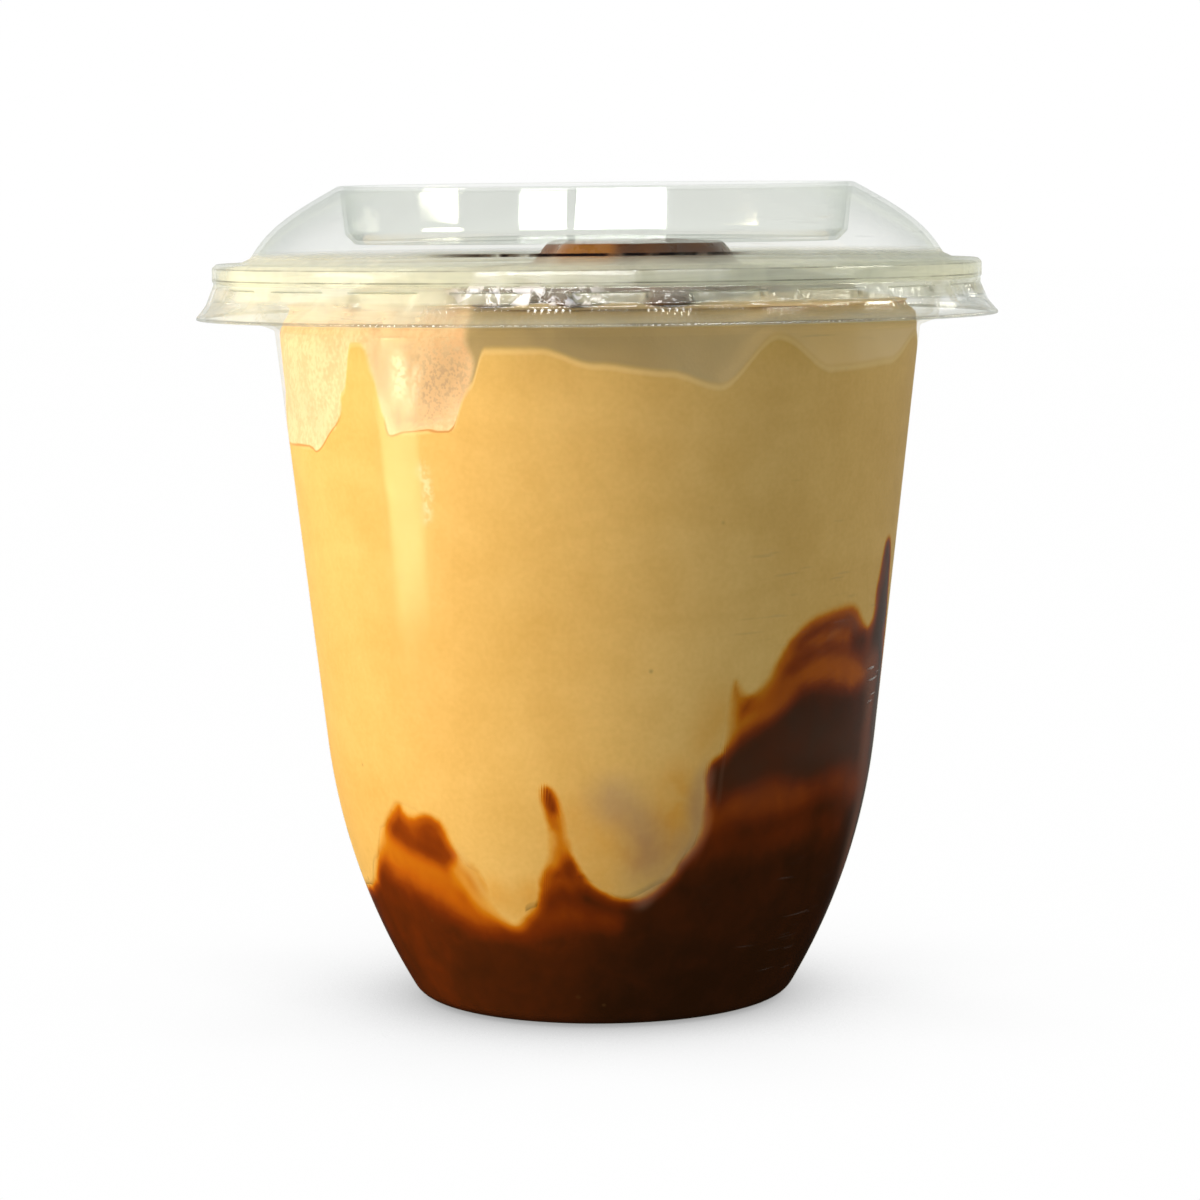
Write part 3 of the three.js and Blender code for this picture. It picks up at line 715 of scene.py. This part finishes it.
def paint_lid(made):
    """Milky where light goes through several bends: the dome's foot, the band, the lugs and the lip."""
    azimuth, r, z = around(made)
    azimuth = (azimuth + 180) % 360 - 180
    lug = np.array([float(lug_inset(*vertex)) / LUG_DEPTH for vertex in zip(azimuth, z, r + 1)])
    left = smooth((-14 - azimuth) / 16)
    outer = r > LID_BAND_RADIUS - 3
    lug_zone = smooth((z - LUG_CLEAR) / 0.6) * smooth((LID_BAND_FOOT + 0.2 - z) / 0.4) * outer
    band = smooth((z - LID_BAND_FOOT) / 0.4) * smooth((r - DOME_FOOT_RADIUS + 0.9) / 0.6)
    lip = smooth((LID_LIP + 1.6 - z) / 0.6) * outer
    gap = lerp(MILKY["gap"], MILKY["side_gap"], smooth((np.abs(azimuth) - 18) / 10))
    milky = lug_zone * lerp(lerp(gap, MILKY["lug"], lug), MILKY["left_lug"], left)
    for strength, where in ((MILKY["band"], band), (MILKY["lip"], lip),
                            (MILKY["left_skirt"], left * outer * smooth((LID_BAND_FOOT - z) / 0.4))):
        milky = np.maximum(milky, strength * where)
    end = smooth((np.abs(azimuth) - 60) / 14) * outer
    paint(made, "milky", milky * (1 - end * np.where(azimuth < 0, CLEAR_LEFT_END, CLEAR_RIGHT_END)))
    paint(made, "lug_end", (1 - np.abs(2 * lug - 1)) * lug_zone * smooth((azimuth + 30) / 20))
    paint(made, "outer", outer)
    # Where the painted glints go: white marks for highlights on the lugs in front.
    paint(made, "glint", lug_zone * smooth((azimuth + 22) / 5) * smooth((3 - azimuth) / 6))


# --- The filling ---

AZIMUTHS = np.arange(COLUMNS) * 360 / COLUMNS
DIVIDE_STEPS = (0.3, 0.55, 0.75, 0.88, 0.95, 0.985)


def mound_point(r, azimuths, lift=0.0):
    """Points a height above the ice cream's top; its rings close in on the peak beside the axis."""
    a, out = np.radians(azimuths), r / MOUND_SHOULDER
    folds = 0.45 * np.sin(2 * a + 0.6) + 0.3 * np.sin(5 * a - 1)
    # The peak reaches further to the right, and its outline is a little uneven.
    spread = 1 + 0.12 * np.sin(a) + 0.05 * np.sin(3 * a + 2.4) + 0.03 * np.sin(7 * a)
    peak = PEAK_RISE * (1 - smooth((r / spread - PEAK_CREST) / (PEAK_FOOT - PEAK_CREST)))
    mound = MOUND_TOP - MOUND_FALL * out ** 2.2 + folds * out * (1 - out) * 2
    points = polar(r, azimuths, mound + peak + lift)
    points[..., 0] += PEAK_OFFSET * (1 - out)
    return points


def capped(name, rings, bottom, top):
    """A closed solid from rings of points between two single points."""
    points = np.concatenate([*rings, [bottom, top]])
    faces = grid_faces(len(rings), COLUMNS)
    first, end = len(points) - 2, (len(rings) - 1) * COLUMNS
    for i in range(COLUMNS):
        j = (i + 1) % COLUMNS
        faces.append((first, j, i))
        faces.append((first + 1, end + i, end + j))
    return mesh_from(name, points, faces, FOOD_CREASE)


def wall_ring(z):
    """Points all round on the filling's side at heights z."""
    return polar(wall_radius(z, FILL_INSET), AZIMUTHS, z)


def divide_rings():
    """Rings of the face between sauce and ice cream, from the middle (0) towards the wall (1)."""
    rings = []
    for u in DIVIDE_STEPS:
        z = lerp(POOL_LEVEL, sauce_edge(AZIMUTHS), u ** SAUCE_HUG)
        rings.append(polar(u * wall_radius(z, FILL_INSET), AZIMUTHS, z))
    return rings


def custard():
    """The ice cream, from its face with the bottom sauce to the mound; it leaves the wall near the top."""
    foot, contact = sauce_edge(AZIMUTHS), contact_edge(AZIMUTHS)
    rings = divide_rings()
    for t in np.linspace(0, 1, 70):
        rings.append(wall_ring(lerp(foot, contact, t)))
    a = np.radians(AZIMUTHS)
    turn = np.arange(-4.0, 365.0, 1.5)
    contact_line = np.stack([turn, contact_edge(turn)], -1)
    for t in (0.03, 0.07, 0.12, 0.2, 0.3, 0.4, 0.5, 0.6, 0.7, 0.8, 0.9, 0.97):
        z = lerp(contact, MOUND_EDGE, t)
        parted = smooth(line_distance(*flat(AZIMUTHS, z), contact_line) / RECEDE_RUN)
        ripple = 0.10 * np.sin(9 * a + 2) + 0.07 * np.sin(23 * a + 7 * t)
        away = FILL_INSET + (RECEDE + ripple) * parted
        rounding = 1.6 * smooth((t - 0.7) / 0.3)
        rings.append(polar(wall_radius(np.minimum(z, SHOULDER), away + rounding), AZIMUTHS, z))
    for r in (*np.linspace(MOUND_SHOULDER, 18, 18), *np.linspace(17, 9, 17), 6, 3, 1):
        rings.append(mound_point(r, AZIMUTHS))
    return capped("custard", rings, (0, 0, POOL_LEVEL), mound_point(0, 0))


def caramel():
    """The sauce at the bottom: along the cup's base, up the wall, and back over its own face."""
    heel = cup_side(FILL_INSET)[:12]
    rings = [polar(r, AZIMUTHS, z) for r, z in heel[1:]]
    edge = sauce_edge(AZIMUTHS)
    for t in np.linspace(0, 1, 56)[1:]:
        rings.append(wall_ring(lerp(heel[-1][1], edge, t)))
    rings += divide_rings()[::-1]
    return capped("caramel", rings, (0, 0, heel[0][1]), (0, 0, POOL_LEVEL))


def sauce_top():
    """The poured sauce: a sheet with a round lip that follows the mound, thin at its lip."""
    edge = topping_edge(AZIMUTHS)
    under = [(out, 0.0) for out in (0.1, 0.2, 0.26, 0.32, 0.38, 0.46, 0.55, 0.7, 0.85, 0.96)]
    lip = [(1, 0.1), (1.004, 0.3), (0.998, 0.6)]
    over = [(out, lerp(TOPPING_DEPTH, TOPPING_LIP, out ** 3) + SAUCE_SWELL * (1 - out ** 8))
            for out in (0.985, 0.965, 0.94, *np.linspace(0.9, 0.05, 44))]
    layers = [*under, *lip, *over]
    rings = [mound_point(out * edge, AZIMUTHS, TOPPING_GAP + depth) for out, depth in layers]
    made = capped("sauce_top", rings, mound_point(0, 0, TOPPING_GAP),
                  mound_point(0, 0, TOPPING_GAP + TOPPING_DEPTH + SAUCE_SWELL))
    paint_poured(made)
    return made


def paint_poured(made):
    """How thick the poured sauce looks: orange on the peak's front at its left, darkest beside that; its thin
    lip in front is darkened as painted shade under the lid.
    """
    azimuth, r, z = around(made)
    x, y, _ = polar(r, azimuth, z).T
    thin = smooth(1 - (topping_edge(azimuth) - r) / 5)
    from_peak = np.hypot(x - PEAK_MIDDLE, y)
    front = smooth((-3 - y) / 5) * smooth((from_peak - 8) / 2) * smooth((19 - from_peak) / 3)
    orange = front * smooth((x + 12) / 3) * smooth((3.2 - x) / 1.6)
    dark = front * np.exp(-((x - 4.2) / 2.0) ** 2)
    # Painted shade: the thin lip is darker in front, where it lies in shade under the lid.
    front_painted_shade = smooth((38 - np.abs(azimuth)) / 12)
    depth = (0.74 + 0.20 * dark) * (1 - 0.40 * orange)
    paint(made, "sauce_depth", depth + thin * (0.36 * front_painted_shade - 0.14))


# --- What shows through the wall ---

FIRST_AZIMUTH = -82    # the outlines below run once round from here
SIDE_REACH = 4         # the farthest distance from an edge that is kept

# The sauce's visible edge round the wall: (azimuth, height), from the left of the front round the back.
VISIBLE_EDGE = [
    (-82, 14.5), (-72, 15.5), (-66, 17), (-60, 20.5), (-52.5, 25.5), (-47, 28.5), (-45.5, 27.5), (-43, 27),
    (-39, 27.5), (-36, 27), (-34.5, 26), (-33.5, 24), (-31, 22), (-29, 21.5), (-27, 19.5), (-25.5, 17),
    (-23.5, 15), (-21, 14), (-19, 14.5), (-14.5, 17), (-13, 20.5), (-11, 23), (-10.3, 26), (-12, 31),
    (-11.3, 32), (-9, 30.5), (-7.5, 27), (-6.5, 23.5), (-4.5, 21), (-2.5, 19.3), (2.5, 17.8), (9, 17.8),
    (14.5, 20), (16.5, 22), (19, 23.5), (20.5, 25.5), (21.6, 29.5), (21, 33.5), (22.5, 35), (25.3, 36),
    (25.8, 38), (25.6, 41), (26.2, 44.5), (28, 43), (30, 42.5), (32, 43), (35.5, 46), (39.5, 49.3),
    (43.5, 51.3), (49, 52.2), (53, 52.5), (58.5, 52), (64.5, 49), (68, 51), (67.5, 53), (70, 59), (73, 60),
    (76.5, 57), (80, 49), (84.5, 42), (89, 37.5),
    (94, 38.6), (97.5, 40.6), (101, 37), (103.5, 30.2), (108, 25.5), (114, 22.8), (119, 19.8),
    (124, 19.9), (129, 23), (134.5, 30.5), (138.5, 36.2), (142.5, 36.8), (146.5, 32.6), (150, 25),
    (155, 21.8), (160, 23.3), (165.5, 25.6), (170.5, 30.5), (174.5, 38), (178, 43), (181.5, 40.8),
    (186, 37), (190, 34.2), (193.5, 27), (198.5, 22.6), (205, 19.3), (212, 16.6), (219, 17),
    (226, 19.6), (231.5, 25), (236, 30.6), (240.5, 32), (244.5, 28.6), (248, 27), (251.5, 22),
    (256, 17.8), (261.5, 18.8), (266, 22.6), (269.5, 22.8), (273, 18.2),
]

# Soft strokes of thin or thick sauce on the wall: depth, half width in mm, then its (azimuth, height) path.
STROKES = [
    (0.64, 3.2, [(-48.5, 27.6), (-45, 26), (-39.3, 25.4), (-35.9, 23.6), (-32, 20.8)]),
    (0.72, 1.6, [(-40.5, 24.6), (-37, 23.6), (-34, 21.8)]),
    (0.50, 3.8, [(-56, 21.8), (-50.4, 20.8), (-43.5, 19), (-36, 17), (-28, 15.4), (-20, 14.7)]),
    (0.43, 2.2, [(-53.5, 22.6), (-47, 21.8), (-41, 20.2), (-35, 18.2)]),
    (0.26, 1.8, [(-33.6, 20.2), (-29.8, 18.2), (-25.5, 16.4), (-21.5, 15.2)]),
    (0.20, 1.5, [(-31.5, 21.4), (-28.2, 19.8), (-25.2, 17.4)]),
    (0.62, 1.3, [(-57.4, 22.6), (-59.9, 20.4), (-64.8, 17.2)]),
    (0.52, 1.7, [(-9.8, 28.6), (-9, 26.4), (-8.6, 24)]),
    (0.90, 1.1, [(-11.4, 31.2), (-10.6, 30.2)]),
    (0.46, 1.7, [(-8.9, 25.8), (-8.8, 25.6), (-8.5, 23.5), (-9, 21.8)]),
    (0.66, 1.8, [(-11, 19), (-8.5, 19.8), (-6, 19.2)]),
    (0.78, 2.4, [(-16, 14.4), (-9.2, 15.4), (-2.4, 15.5), (3, 15)]),
    (1.06, 2.6, [(26, 31.4), (33.1, 32.8), (40.5, 34.4), (49.1, 35.2), (61, 35), (72, 34.6)]),
    (0.58, 2.2, [(33.5, 44.6), (37, 46.8), (41.5, 48.4), (47, 49), (56, 48.4)]),
    (0.38, 3.3, [(25.6, 42), (26.6, 39.4), (31.4, 40.8), (36, 42.4)]),
    (0.52, 3.2, [(35, 42.4), (40, 44), (46, 44.8), (54, 44.8), (62, 44.2), (70, 43.6)]),
    (0.53, 1.8, [(45, 44.2), (52.5, 44.4), (60, 43.8)]),
    (0.72, 2, [(41, 50.4), (46.5, 51.6), (53.8, 51.4), (60.5, 49.8)]),
    (0.72, 3.4, [(24, 26.9), (29.3, 28.1), (37, 29.2), (49.4, 29.5), (62, 29.3), (73, 29)]),
    (0.62, 2.8, [(20.2, 25.6), (24, 26.9), (29.3, 28.1), (37, 29.2), (43, 29.5)]),
    (0.84, 3.4, [(20, 22.4), (27, 23.8), (37, 24.6), (48, 24.8), (60, 24.6)]),
    (0.80, 3.4, [(71, 42), (72.5, 36), (73.5, 30), (75, 24), (78, 18)]),
    (0.84, 2, [(66.5, 46), (68.5, 51), (70.5, 56.5)]),
    (0.66, 1.6, [(78, 47.5), (84, 40.2), (91, 36), (98, 38.6), (102.5, 30), (110, 23)]),
    (0.48, 2.1, [(96, 31.5), (101, 26.5), (107, 22), (116, 18.5)]),
    (0.46, 2.3, [(133, 26), (138, 32.6), (142.5, 33.8), (147, 28.6)]),
    (0.78, 2, [(126, 16.5), (138, 20), (150, 18.6), (162, 19.8)]),
    (0.50, 2.4, [(171, 28.5), (176.5, 37), (181.5, 36.6), (188, 31.6)]),
    (0.74, 2.2, [(166, 20), (178, 26.5), (190, 26), (198, 19)]),
    (0.44, 1.7, [(203, 17.6), (212, 15), (221, 15.6)]),
    (0.48, 2.1, [(232, 24), (237, 28.6), (242, 28), (247.5, 24.6), (252, 19.6)]),
    (0.70, 1.9, [(258, 15.6), (265, 18.8), (272, 16), (280, 12.6)]),
]

# Films between custard and wall: strength, half width, path.
VEILS = [
    (0.70, 1.7, [(9.6, 17.6), (12.4, 20), (16, 22.8), (18.8, 25.4), (20, 30.1), (21.6, 33.5)]),
    (0.50, 2.6, [(9.6, 22.2), (12.8, 23.7), (16.2, 25.2)]),
    (0.76, 4.2, [(2, 30), (5.2, 28.8), (8.2, 25.8), (9.4, 22.6)]),
    (0.16, 1.3, [(-33, 22.4), (-30.2, 20.6), (-27, 18.8)]),
    (0.11, 6.5, [(30, 33), (42, 35.5), (56, 35), (66, 30)]),
    (0.22, 0.5, [(25.8, 35.6), (24.8, 31.7), (23.9, 29.6)]),
    (0.20, 1, [(51, 49), (55, 50.2), (59, 49.4)]),
    (0.30, 3.2, [(69, 44), (70.5, 38), (71.5, 31), (73.5, 24), (76.5, 18)]),
    (0.55, 1.8, [(108, 27.6), (115, 24.6), (121, 22.2)]),
    (0.50, 1.9, [(152, 24.6), (158, 24.8), (165, 28.4)]),
    (0.50, 1.8, [(206, 21.2), (214, 18.8), (224, 21)]),
]

# Thin sauce smeared over the custard: depth, half width, path.
STAINS = [
    (0.10, 5, [(-5.5, 27.5), (-2.5, 25.5), (1, 22)]),
    (0.14, 5, [(4, 24.6), (8.6, 24), (13, 26), (17, 31)]),
    (0.08, 3, [(20, 37), (22.5, 41.5)]),
    (0.12, 3, [(-23.5, 18.2), (-19.4, 16.9), (-15.7, 18)]),
    (0.12, 4, [(112, 30), (120, 26), (127, 29)]),
    (0.12, 4, [(152, 29), (160, 28), (166, 34)]),
    (0.10, 4, [(204, 26), (214, 23), (224, 26)]),
]

# Frosted patches where the ice cream stands off the wall, as closed outlines of (azimuth, height).
PATCHES = [
    [(-106, 76), (-98, 73), (-90, 72.6), (-80, 72.8), (-65, 73), (-62, 72.4), (-59, 73.2), (-56, 74.8),
     (-52.5, 76.5), (-51, 78.2), (-52, 80.5), (-52, 83), (-50, 84.5), (-47.5, 86.2), (-45, 86.5), (-43, 85.2),
     (-42, 82.2), (-40, 80.2), (-39.7, 76), (-38.5, 75), (-33.5, 76), (-26.3, 75.8), (-25, 78.2),
     (-22.5, 80.5), (-21.3, 83), (-19.5, 86.5), (-20, 93), (-106, 93)],
    [(120, 93), (119, 84), (122, 79.5), (128, 77), (134, 77.2), (139, 79.5), (144, 84), (145, 93)],
    [(199, 93), (198, 82), (203, 78), (209, 75.2), (216, 76.6), (222, 76.4), (228, 79.6), (234, 84),
     (235, 93)],
]
# Bubbles and grit in the frost: strength, half width, path.
SPECKLED = [
    (1, 4.4, [(-36, 82.4), (-31, 81.4), (-26.5, 82.4)]),
    (0.75, 2, [(-36, 77.6), (-31, 78), (-27, 79)]),
    (0.25, 2.4, [(-66, 78), (-60, 76)]),
    (0.8, 3.2, [(128, 80), (135, 81)]),
    (0.8, 3.4, [(210, 78), (223, 79)]),
]

# Painted highlights, bright sparkles on the custard behind the wall: strength, half width, path.
PAINTED_SPARKLES = [
    (1, 1.5, [(-37, 83.4), (-37, 80.5)]),
    (0.6, 1.2, [(-33.5, 82.7), (-34.5, 79.3)]),
    (0.55, 0.9, [(-33, 71), (-32.6, 64.5)]),
]


def inside_loop(azimuth, z, loop):
    """Whether points lie in a closed loop of (azimuth, height) points."""
    hit = np.zeros(azimuth.shape, bool)
    for (a1, z1), (a2, z2) in zip(loop, np.roll(loop, -1, 0)):
        if z1 == z2:
            continue
        crosses = (z1 > z) != (z2 > z)
        hit ^= crosses & (azimuth < (a2 - a1) * (z - z1) / (z2 - z1) + a1)
    return hit


def wavering(x, y):
    """Flat points shifted a little, so that the strokes painted through them run unevenly."""
    return (x + 0.6 * np.sin(0.42 * y + 1.3 * np.sin(0.21 * x)), y + 0.5 * np.sin(0.37 * x - 0.29 * y))


def stroke_weight(x, y, half_width, path):
    return 1 - smooth(line_distance(*wavering(x, y), curved(path)) / half_width / 1.35)


def strongest(x, y, strokes):
    """The strength of the strongest of several soft strokes at each flat point."""
    best = np.zeros_like(x)
    for strength, half_width, path in strokes:
        best = np.maximum(best, strength * stroke_weight(x, y, half_width, path))
    return best


def sauce_side(azimuth, z, x, y):
    """Distance from the sauce's visible edge, positive in the sauce."""
    rounds = curved(VISIBLE_EDGE + [(FIRST_AZIMUTH + 360, 14.5)])
    low_left, low_right = (FIRST_AZIMUTH - 0.5, -50), (FIRST_AZIMUTH + 360.5, -50)
    below = inside_loop(azimuth, z, np.concatenate([rounds, [(low_right[0], 14.5), low_right, low_left]]))
    side = line_distance(x, y, rounds)
    for near_seam in ((rounds - (360, 0))[-40:], (rounds + (360, 0))[:40]):
        side = np.minimum(side, line_distance(x, y, near_seam))
    return np.where(below, side, -side)


def frost_weight(azimuth, z, x, y, above):
    """How frosted the wall is: in the patches, and above the contact line to their left."""
    frost = np.zeros_like(x)
    for outline in PATCHES:
        loop = curved(outline, closed=True, steps=3)
        for turn in (0, 360):
            shifted = loop + (turn, 0)
            reach = line_distance(x, y, shifted)
            signed = np.where(inside_loop(azimuth, z, shifted), reach, -reach)
            # Crisp along its foot and soft beside the yellow tongue.
            frost = np.maximum(frost, smooth(signed / lerp(1.4, 3.4, smooth((z - 76) / 4)) + 0.5))
    # No tan shows beside the front patches, which fade into it only at their upper right.
    frost = np.maximum(frost, smooth((above + 0.4) / 1.2) * smooth((-21 - azimuth) / 3))
    return frost * (1 - smooth((azimuth + 27) / 9) * smooth((z - 82.5) / 4) * smooth((90 - azimuth) / 60))


def paint_wall(made):
    """Writes how the filling looks at each vertex of its side, from the outlines above."""
    azimuth, r, z = around(made)
    azimuth = (azimuth - FIRST_AZIMUTH) % 360 + FIRST_AZIMUTH
    x, y = flat(azimuth, z)
    side = sauce_side(azimuth, z, x, y)
    above = z - contact_edge(azimuth)
    # The sauce is deepest low down and towards the right of the front, and thin along its edge.
    depth = 0.94 + 0.16 * smooth((azimuth + 60) / 110) * smooth((170 - azimuth) / 60)
    depth = depth + 0.07 * smooth((16 - z) / 12)
    for target, half_width, path in STROKES:
        depth = lerp(depth, target, stroke_weight(x, y, half_width, path))
    depth = depth * lerp(0.62, 1.0, smooth(side / 1.8))
    for name, values in (
        ("sauce_side", np.clip(side, -SIDE_REACH, SIDE_REACH)),
        ("above_contact", np.clip(above, -SIDE_REACH, SIDE_REACH)),
        ("sauce_depth", depth),
        ("veil", strongest(x, y, VEILS)),
        ("stain", strongest(x, y, STAINS)),
        ("speckle", strongest(x, y, SPECKLED)),
        ("painted_sparkle", strongest(x, y, PAINTED_SPARKLES)),
        ("frost", frost_weight(azimuth, z, x, y, above)),
        ("frost_line", smooth((azimuth + 90) / 20) * smooth((77.5 - z) / 1.5)),
        ("crown", smooth((MOUND_SHOULDER - 0.5 - r) / 3) * (z > MOUND_EDGE - 1)),
    ):
        paint(made, name, values)


# --- The object ---

for piece, node, slot, material in (
    (cup_shell(), "cup", "clear_cup",
     clear_sheet("clear_cup_sheet", (0.995, 0.995, 0.99), (0.96, 0.95, 0.91), 0.07, (0.10, 0.20), bend_haze)),
    (lid_shell(), "lid", "clear_lid",
     clear_sheet("clear_lid_sheet", (0.99, 0.994, 0.985), (0.95, 0.966, 0.95), 0.52, (0.04, 0.11), lid_haze,
                 skirt_relief, ((deck_smear, DRIED_SAUCE), (painted_bend_shade, BEND_SHADE)))),
    (custard(), "ice_cream", "custard_ice_cream", filling("custard_behind_wall", (0.66, 0.40))),
    (caramel(), "caramel_sauce", "caramel_sauce", filling("caramel_behind_wall", (0.62, 0.34))),
    (sauce_top(), "top_sauce", "poured_sauce", poured("poured_caramel")),
):
    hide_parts(node)
    if node in ("ice_cream", "caramel_sauce"):
        paint_wall(piece)
    piece.data.materials.append(material)

# --- Floor, light and camera ---

FLOOR_REACH, FLOOR_DROP = 6.0, 0.0002
SHADE_REACH = 0.075
# The floor's grey by how open the sky is above it, as of the soft shadow in the photo.
SHADE = [(0.0, 0.36), (0.1, 0.43), (0.3, 0.55), (0.45, 0.68), (0.55, 0.81), (0.65, 0.93), (0.74, 0.985),
         (0.82, 1)]
# How bright the mirrored surroundings are, by the sine of the angle above the horizon.
SKY = [(-0.30, 0.012), (-0.14, 0.40), (0.0, 0.75), (0.14, 0.85), (0.60, 0.85), (0.90, 0.15)]
SKY_FROM, SKY_TO = -0.5, 1.0
ROOM_LIGHT, ROOM_TINT = 0.405, (0.92, 1.0, 1.16)
MIDDLE, DOME, WINDOW = 0.05, 0.1, 0.056    # heights on the axis that the lights face
CAMERA_LENS, CAMERA_SENSOR = 113.32, 36    # in millimetres
CAMERA_BACK, CAMERA_HEIGHT = 0.490, 0.1017
CAMERA_DOWN, CAMERA_ROLL = 5.8645, -0.5615    # in degrees

scene = bpy.context.scene


def stage_floor():
    """Glowing white, as under the even light of a wide tent, with a painted shadow that darkens it only where
    the object hides the sky above it.
    """
    mesh = bpy.data.meshes.new("floor")
    corners = [(x * FLOOR_REACH, y * FLOOR_REACH, 0) for x, y in ((-1, -1), (1, -1), (1, 1), (-1, 1))]
    mesh.from_pydata(corners, [], [(0, 1, 2, 3)])
    floor = bpy.data.objects.new("floor", mesh)
    scene.collection.objects.link(floor)
    floor.location.z = -FLOOR_DROP
    n = material_nodes("pale_floor")
    open_sky = n.add("AmbientOcclusion", {"Distance": SHADE_REACH}, samples=8).outputs["AO"]
    shade = n.ramp(open_sky, [(at, (grey, grey, grey)) for at, grey in SHADE])
    white = n.mix(n.noise(3, 2), (0.995, 0.995, 0.995), WHITE)
    mesh.materials.append(n.surface(n.shader("Emission", n.mix(1.0, shade, white, "MULTIPLY"))))
    floor.visible_glossy = floor.visible_diffuse = False


def area_light(name, azimuth, elevation, distance, size, energy, colour, aim, mirrored=True):
    """A rectangular light towards a height on the axis, which is only mirrored, or else only lights."""
    light = bpy.data.lights.new(name, "AREA")
    light.shape = "RECTANGLE"
    light.size, light.size_y = size
    light.energy, light.color = energy, colour
    lamp = bpy.data.objects.new(name, light)
    a, e = math.radians(azimuth), math.radians(elevation)
    away = Vector((math.sin(a) * math.cos(e), -math.cos(a) * math.cos(e), math.sin(e)))
    lamp.location = Vector((0, 0, aim)) + away * distance
    lamp.rotation_euler = (-away).to_track_quat("-Z", "Y").to_euler()
    lamp.visible_camera = False
    lamp.visible_glossy, lamp.visible_diffuse = mirrored, not mirrored
    scene.collection.objects.link(lamp)


def studio_world():
    """White behind the object and softer as light; in reflections pale above and dark below the horizon."""
    scene.world = bpy.data.worlds.new("studio")
    n = Nodes(scene.world, "World")
    direction = n.add("SeparateXYZ", {"Vector": n.add("TexCoord").outputs["Generated"]})
    height = n.add("MapRange", {"Value": direction.outputs["Z"], "From Min": SKY_FROM, "From Max": SKY_TO})
    span = SKY_TO - SKY_FROM
    stops = [((up - SKY_FROM) / span, (level * 0.97, level, level * 0.96)) for up, level in SKY]
    path = n.add("LightPath").outputs
    lit = n.blend(path["Is Glossy Ray"], n.shader("Background", ROOM_TINT, Strength=ROOM_LIGHT),
                  n.shader("Background", n.ramp(height.outputs[0], stops)))
    n.surface(n.blend(path["Is Camera Ray"], lit, n.shader("Background", WHITE)))


def photo_camera():
    """A camera at the photograph's viewing angle."""
    data = bpy.data.cameras.new("camera")
    data.sensor_width, data.lens, data.clip_start = CAMERA_SENSOR, CAMERA_LENS, 0.01
    camera = bpy.data.objects.new("camera", data)
    camera.matrix_world = (Matrix.Translation((0, -CAMERA_BACK, CAMERA_HEIGHT))
                           @ Matrix.Rotation(math.radians(90 - CAMERA_DOWN), 4, "X")
                           @ Matrix.Rotation(math.radians(CAMERA_ROLL), 4, "Z"))
    scene.collection.objects.link(camera)
    scene.camera = camera


studio_world()
stage_floor()
area_light("key", -64, 20, 0.6, (0.36, 0.36), 5.2, (1.0, 0.86, 0.74), MIDDLE, mirrored=False)
area_light("right_rim", 80, 10, 0.6, (0.2, 0.4), 0.5, (1.0, 0.95, 0.9), MIDDLE, mirrored=False)
# What the clear sheets mirror: warm panes on the left, one at the right, and two behind the camera.
area_light("left_window", -72, -6, 0.21, (0.05, 0.06), 0.045, (1.0, 0.85, 0.5), WINDOW)
area_light("left_pane", -76, 5, 0.5, (0.16, 0.07), 0.5, (1.0, 0.88, 0.66), DOME)
area_light("right_pane", 83, 18, 0.5, (0.20, 0.14), 1.8, (1.0, 0.97, 0.80), DOME)
area_light("front_window", -12, 15, 0.5, (0.40, 0.20), 4.5, WHITE, DOME)
area_light("second_pane", 27, 17, 0.5, (0.20, 0.18), 1.1, WHITE, DOME)
photo_camera()
scene.view_settings.view_transform = "Standard"
scene.cycles.transparent_max_bounces = 24
scene.cycles.max_bounces, scene.cycles.diffuse_bounces, scene.cycles.glossy_bounces = 6, 3, 3
scene.cycles.caustics_reflective = scene.cycles.caustics_refractive = False
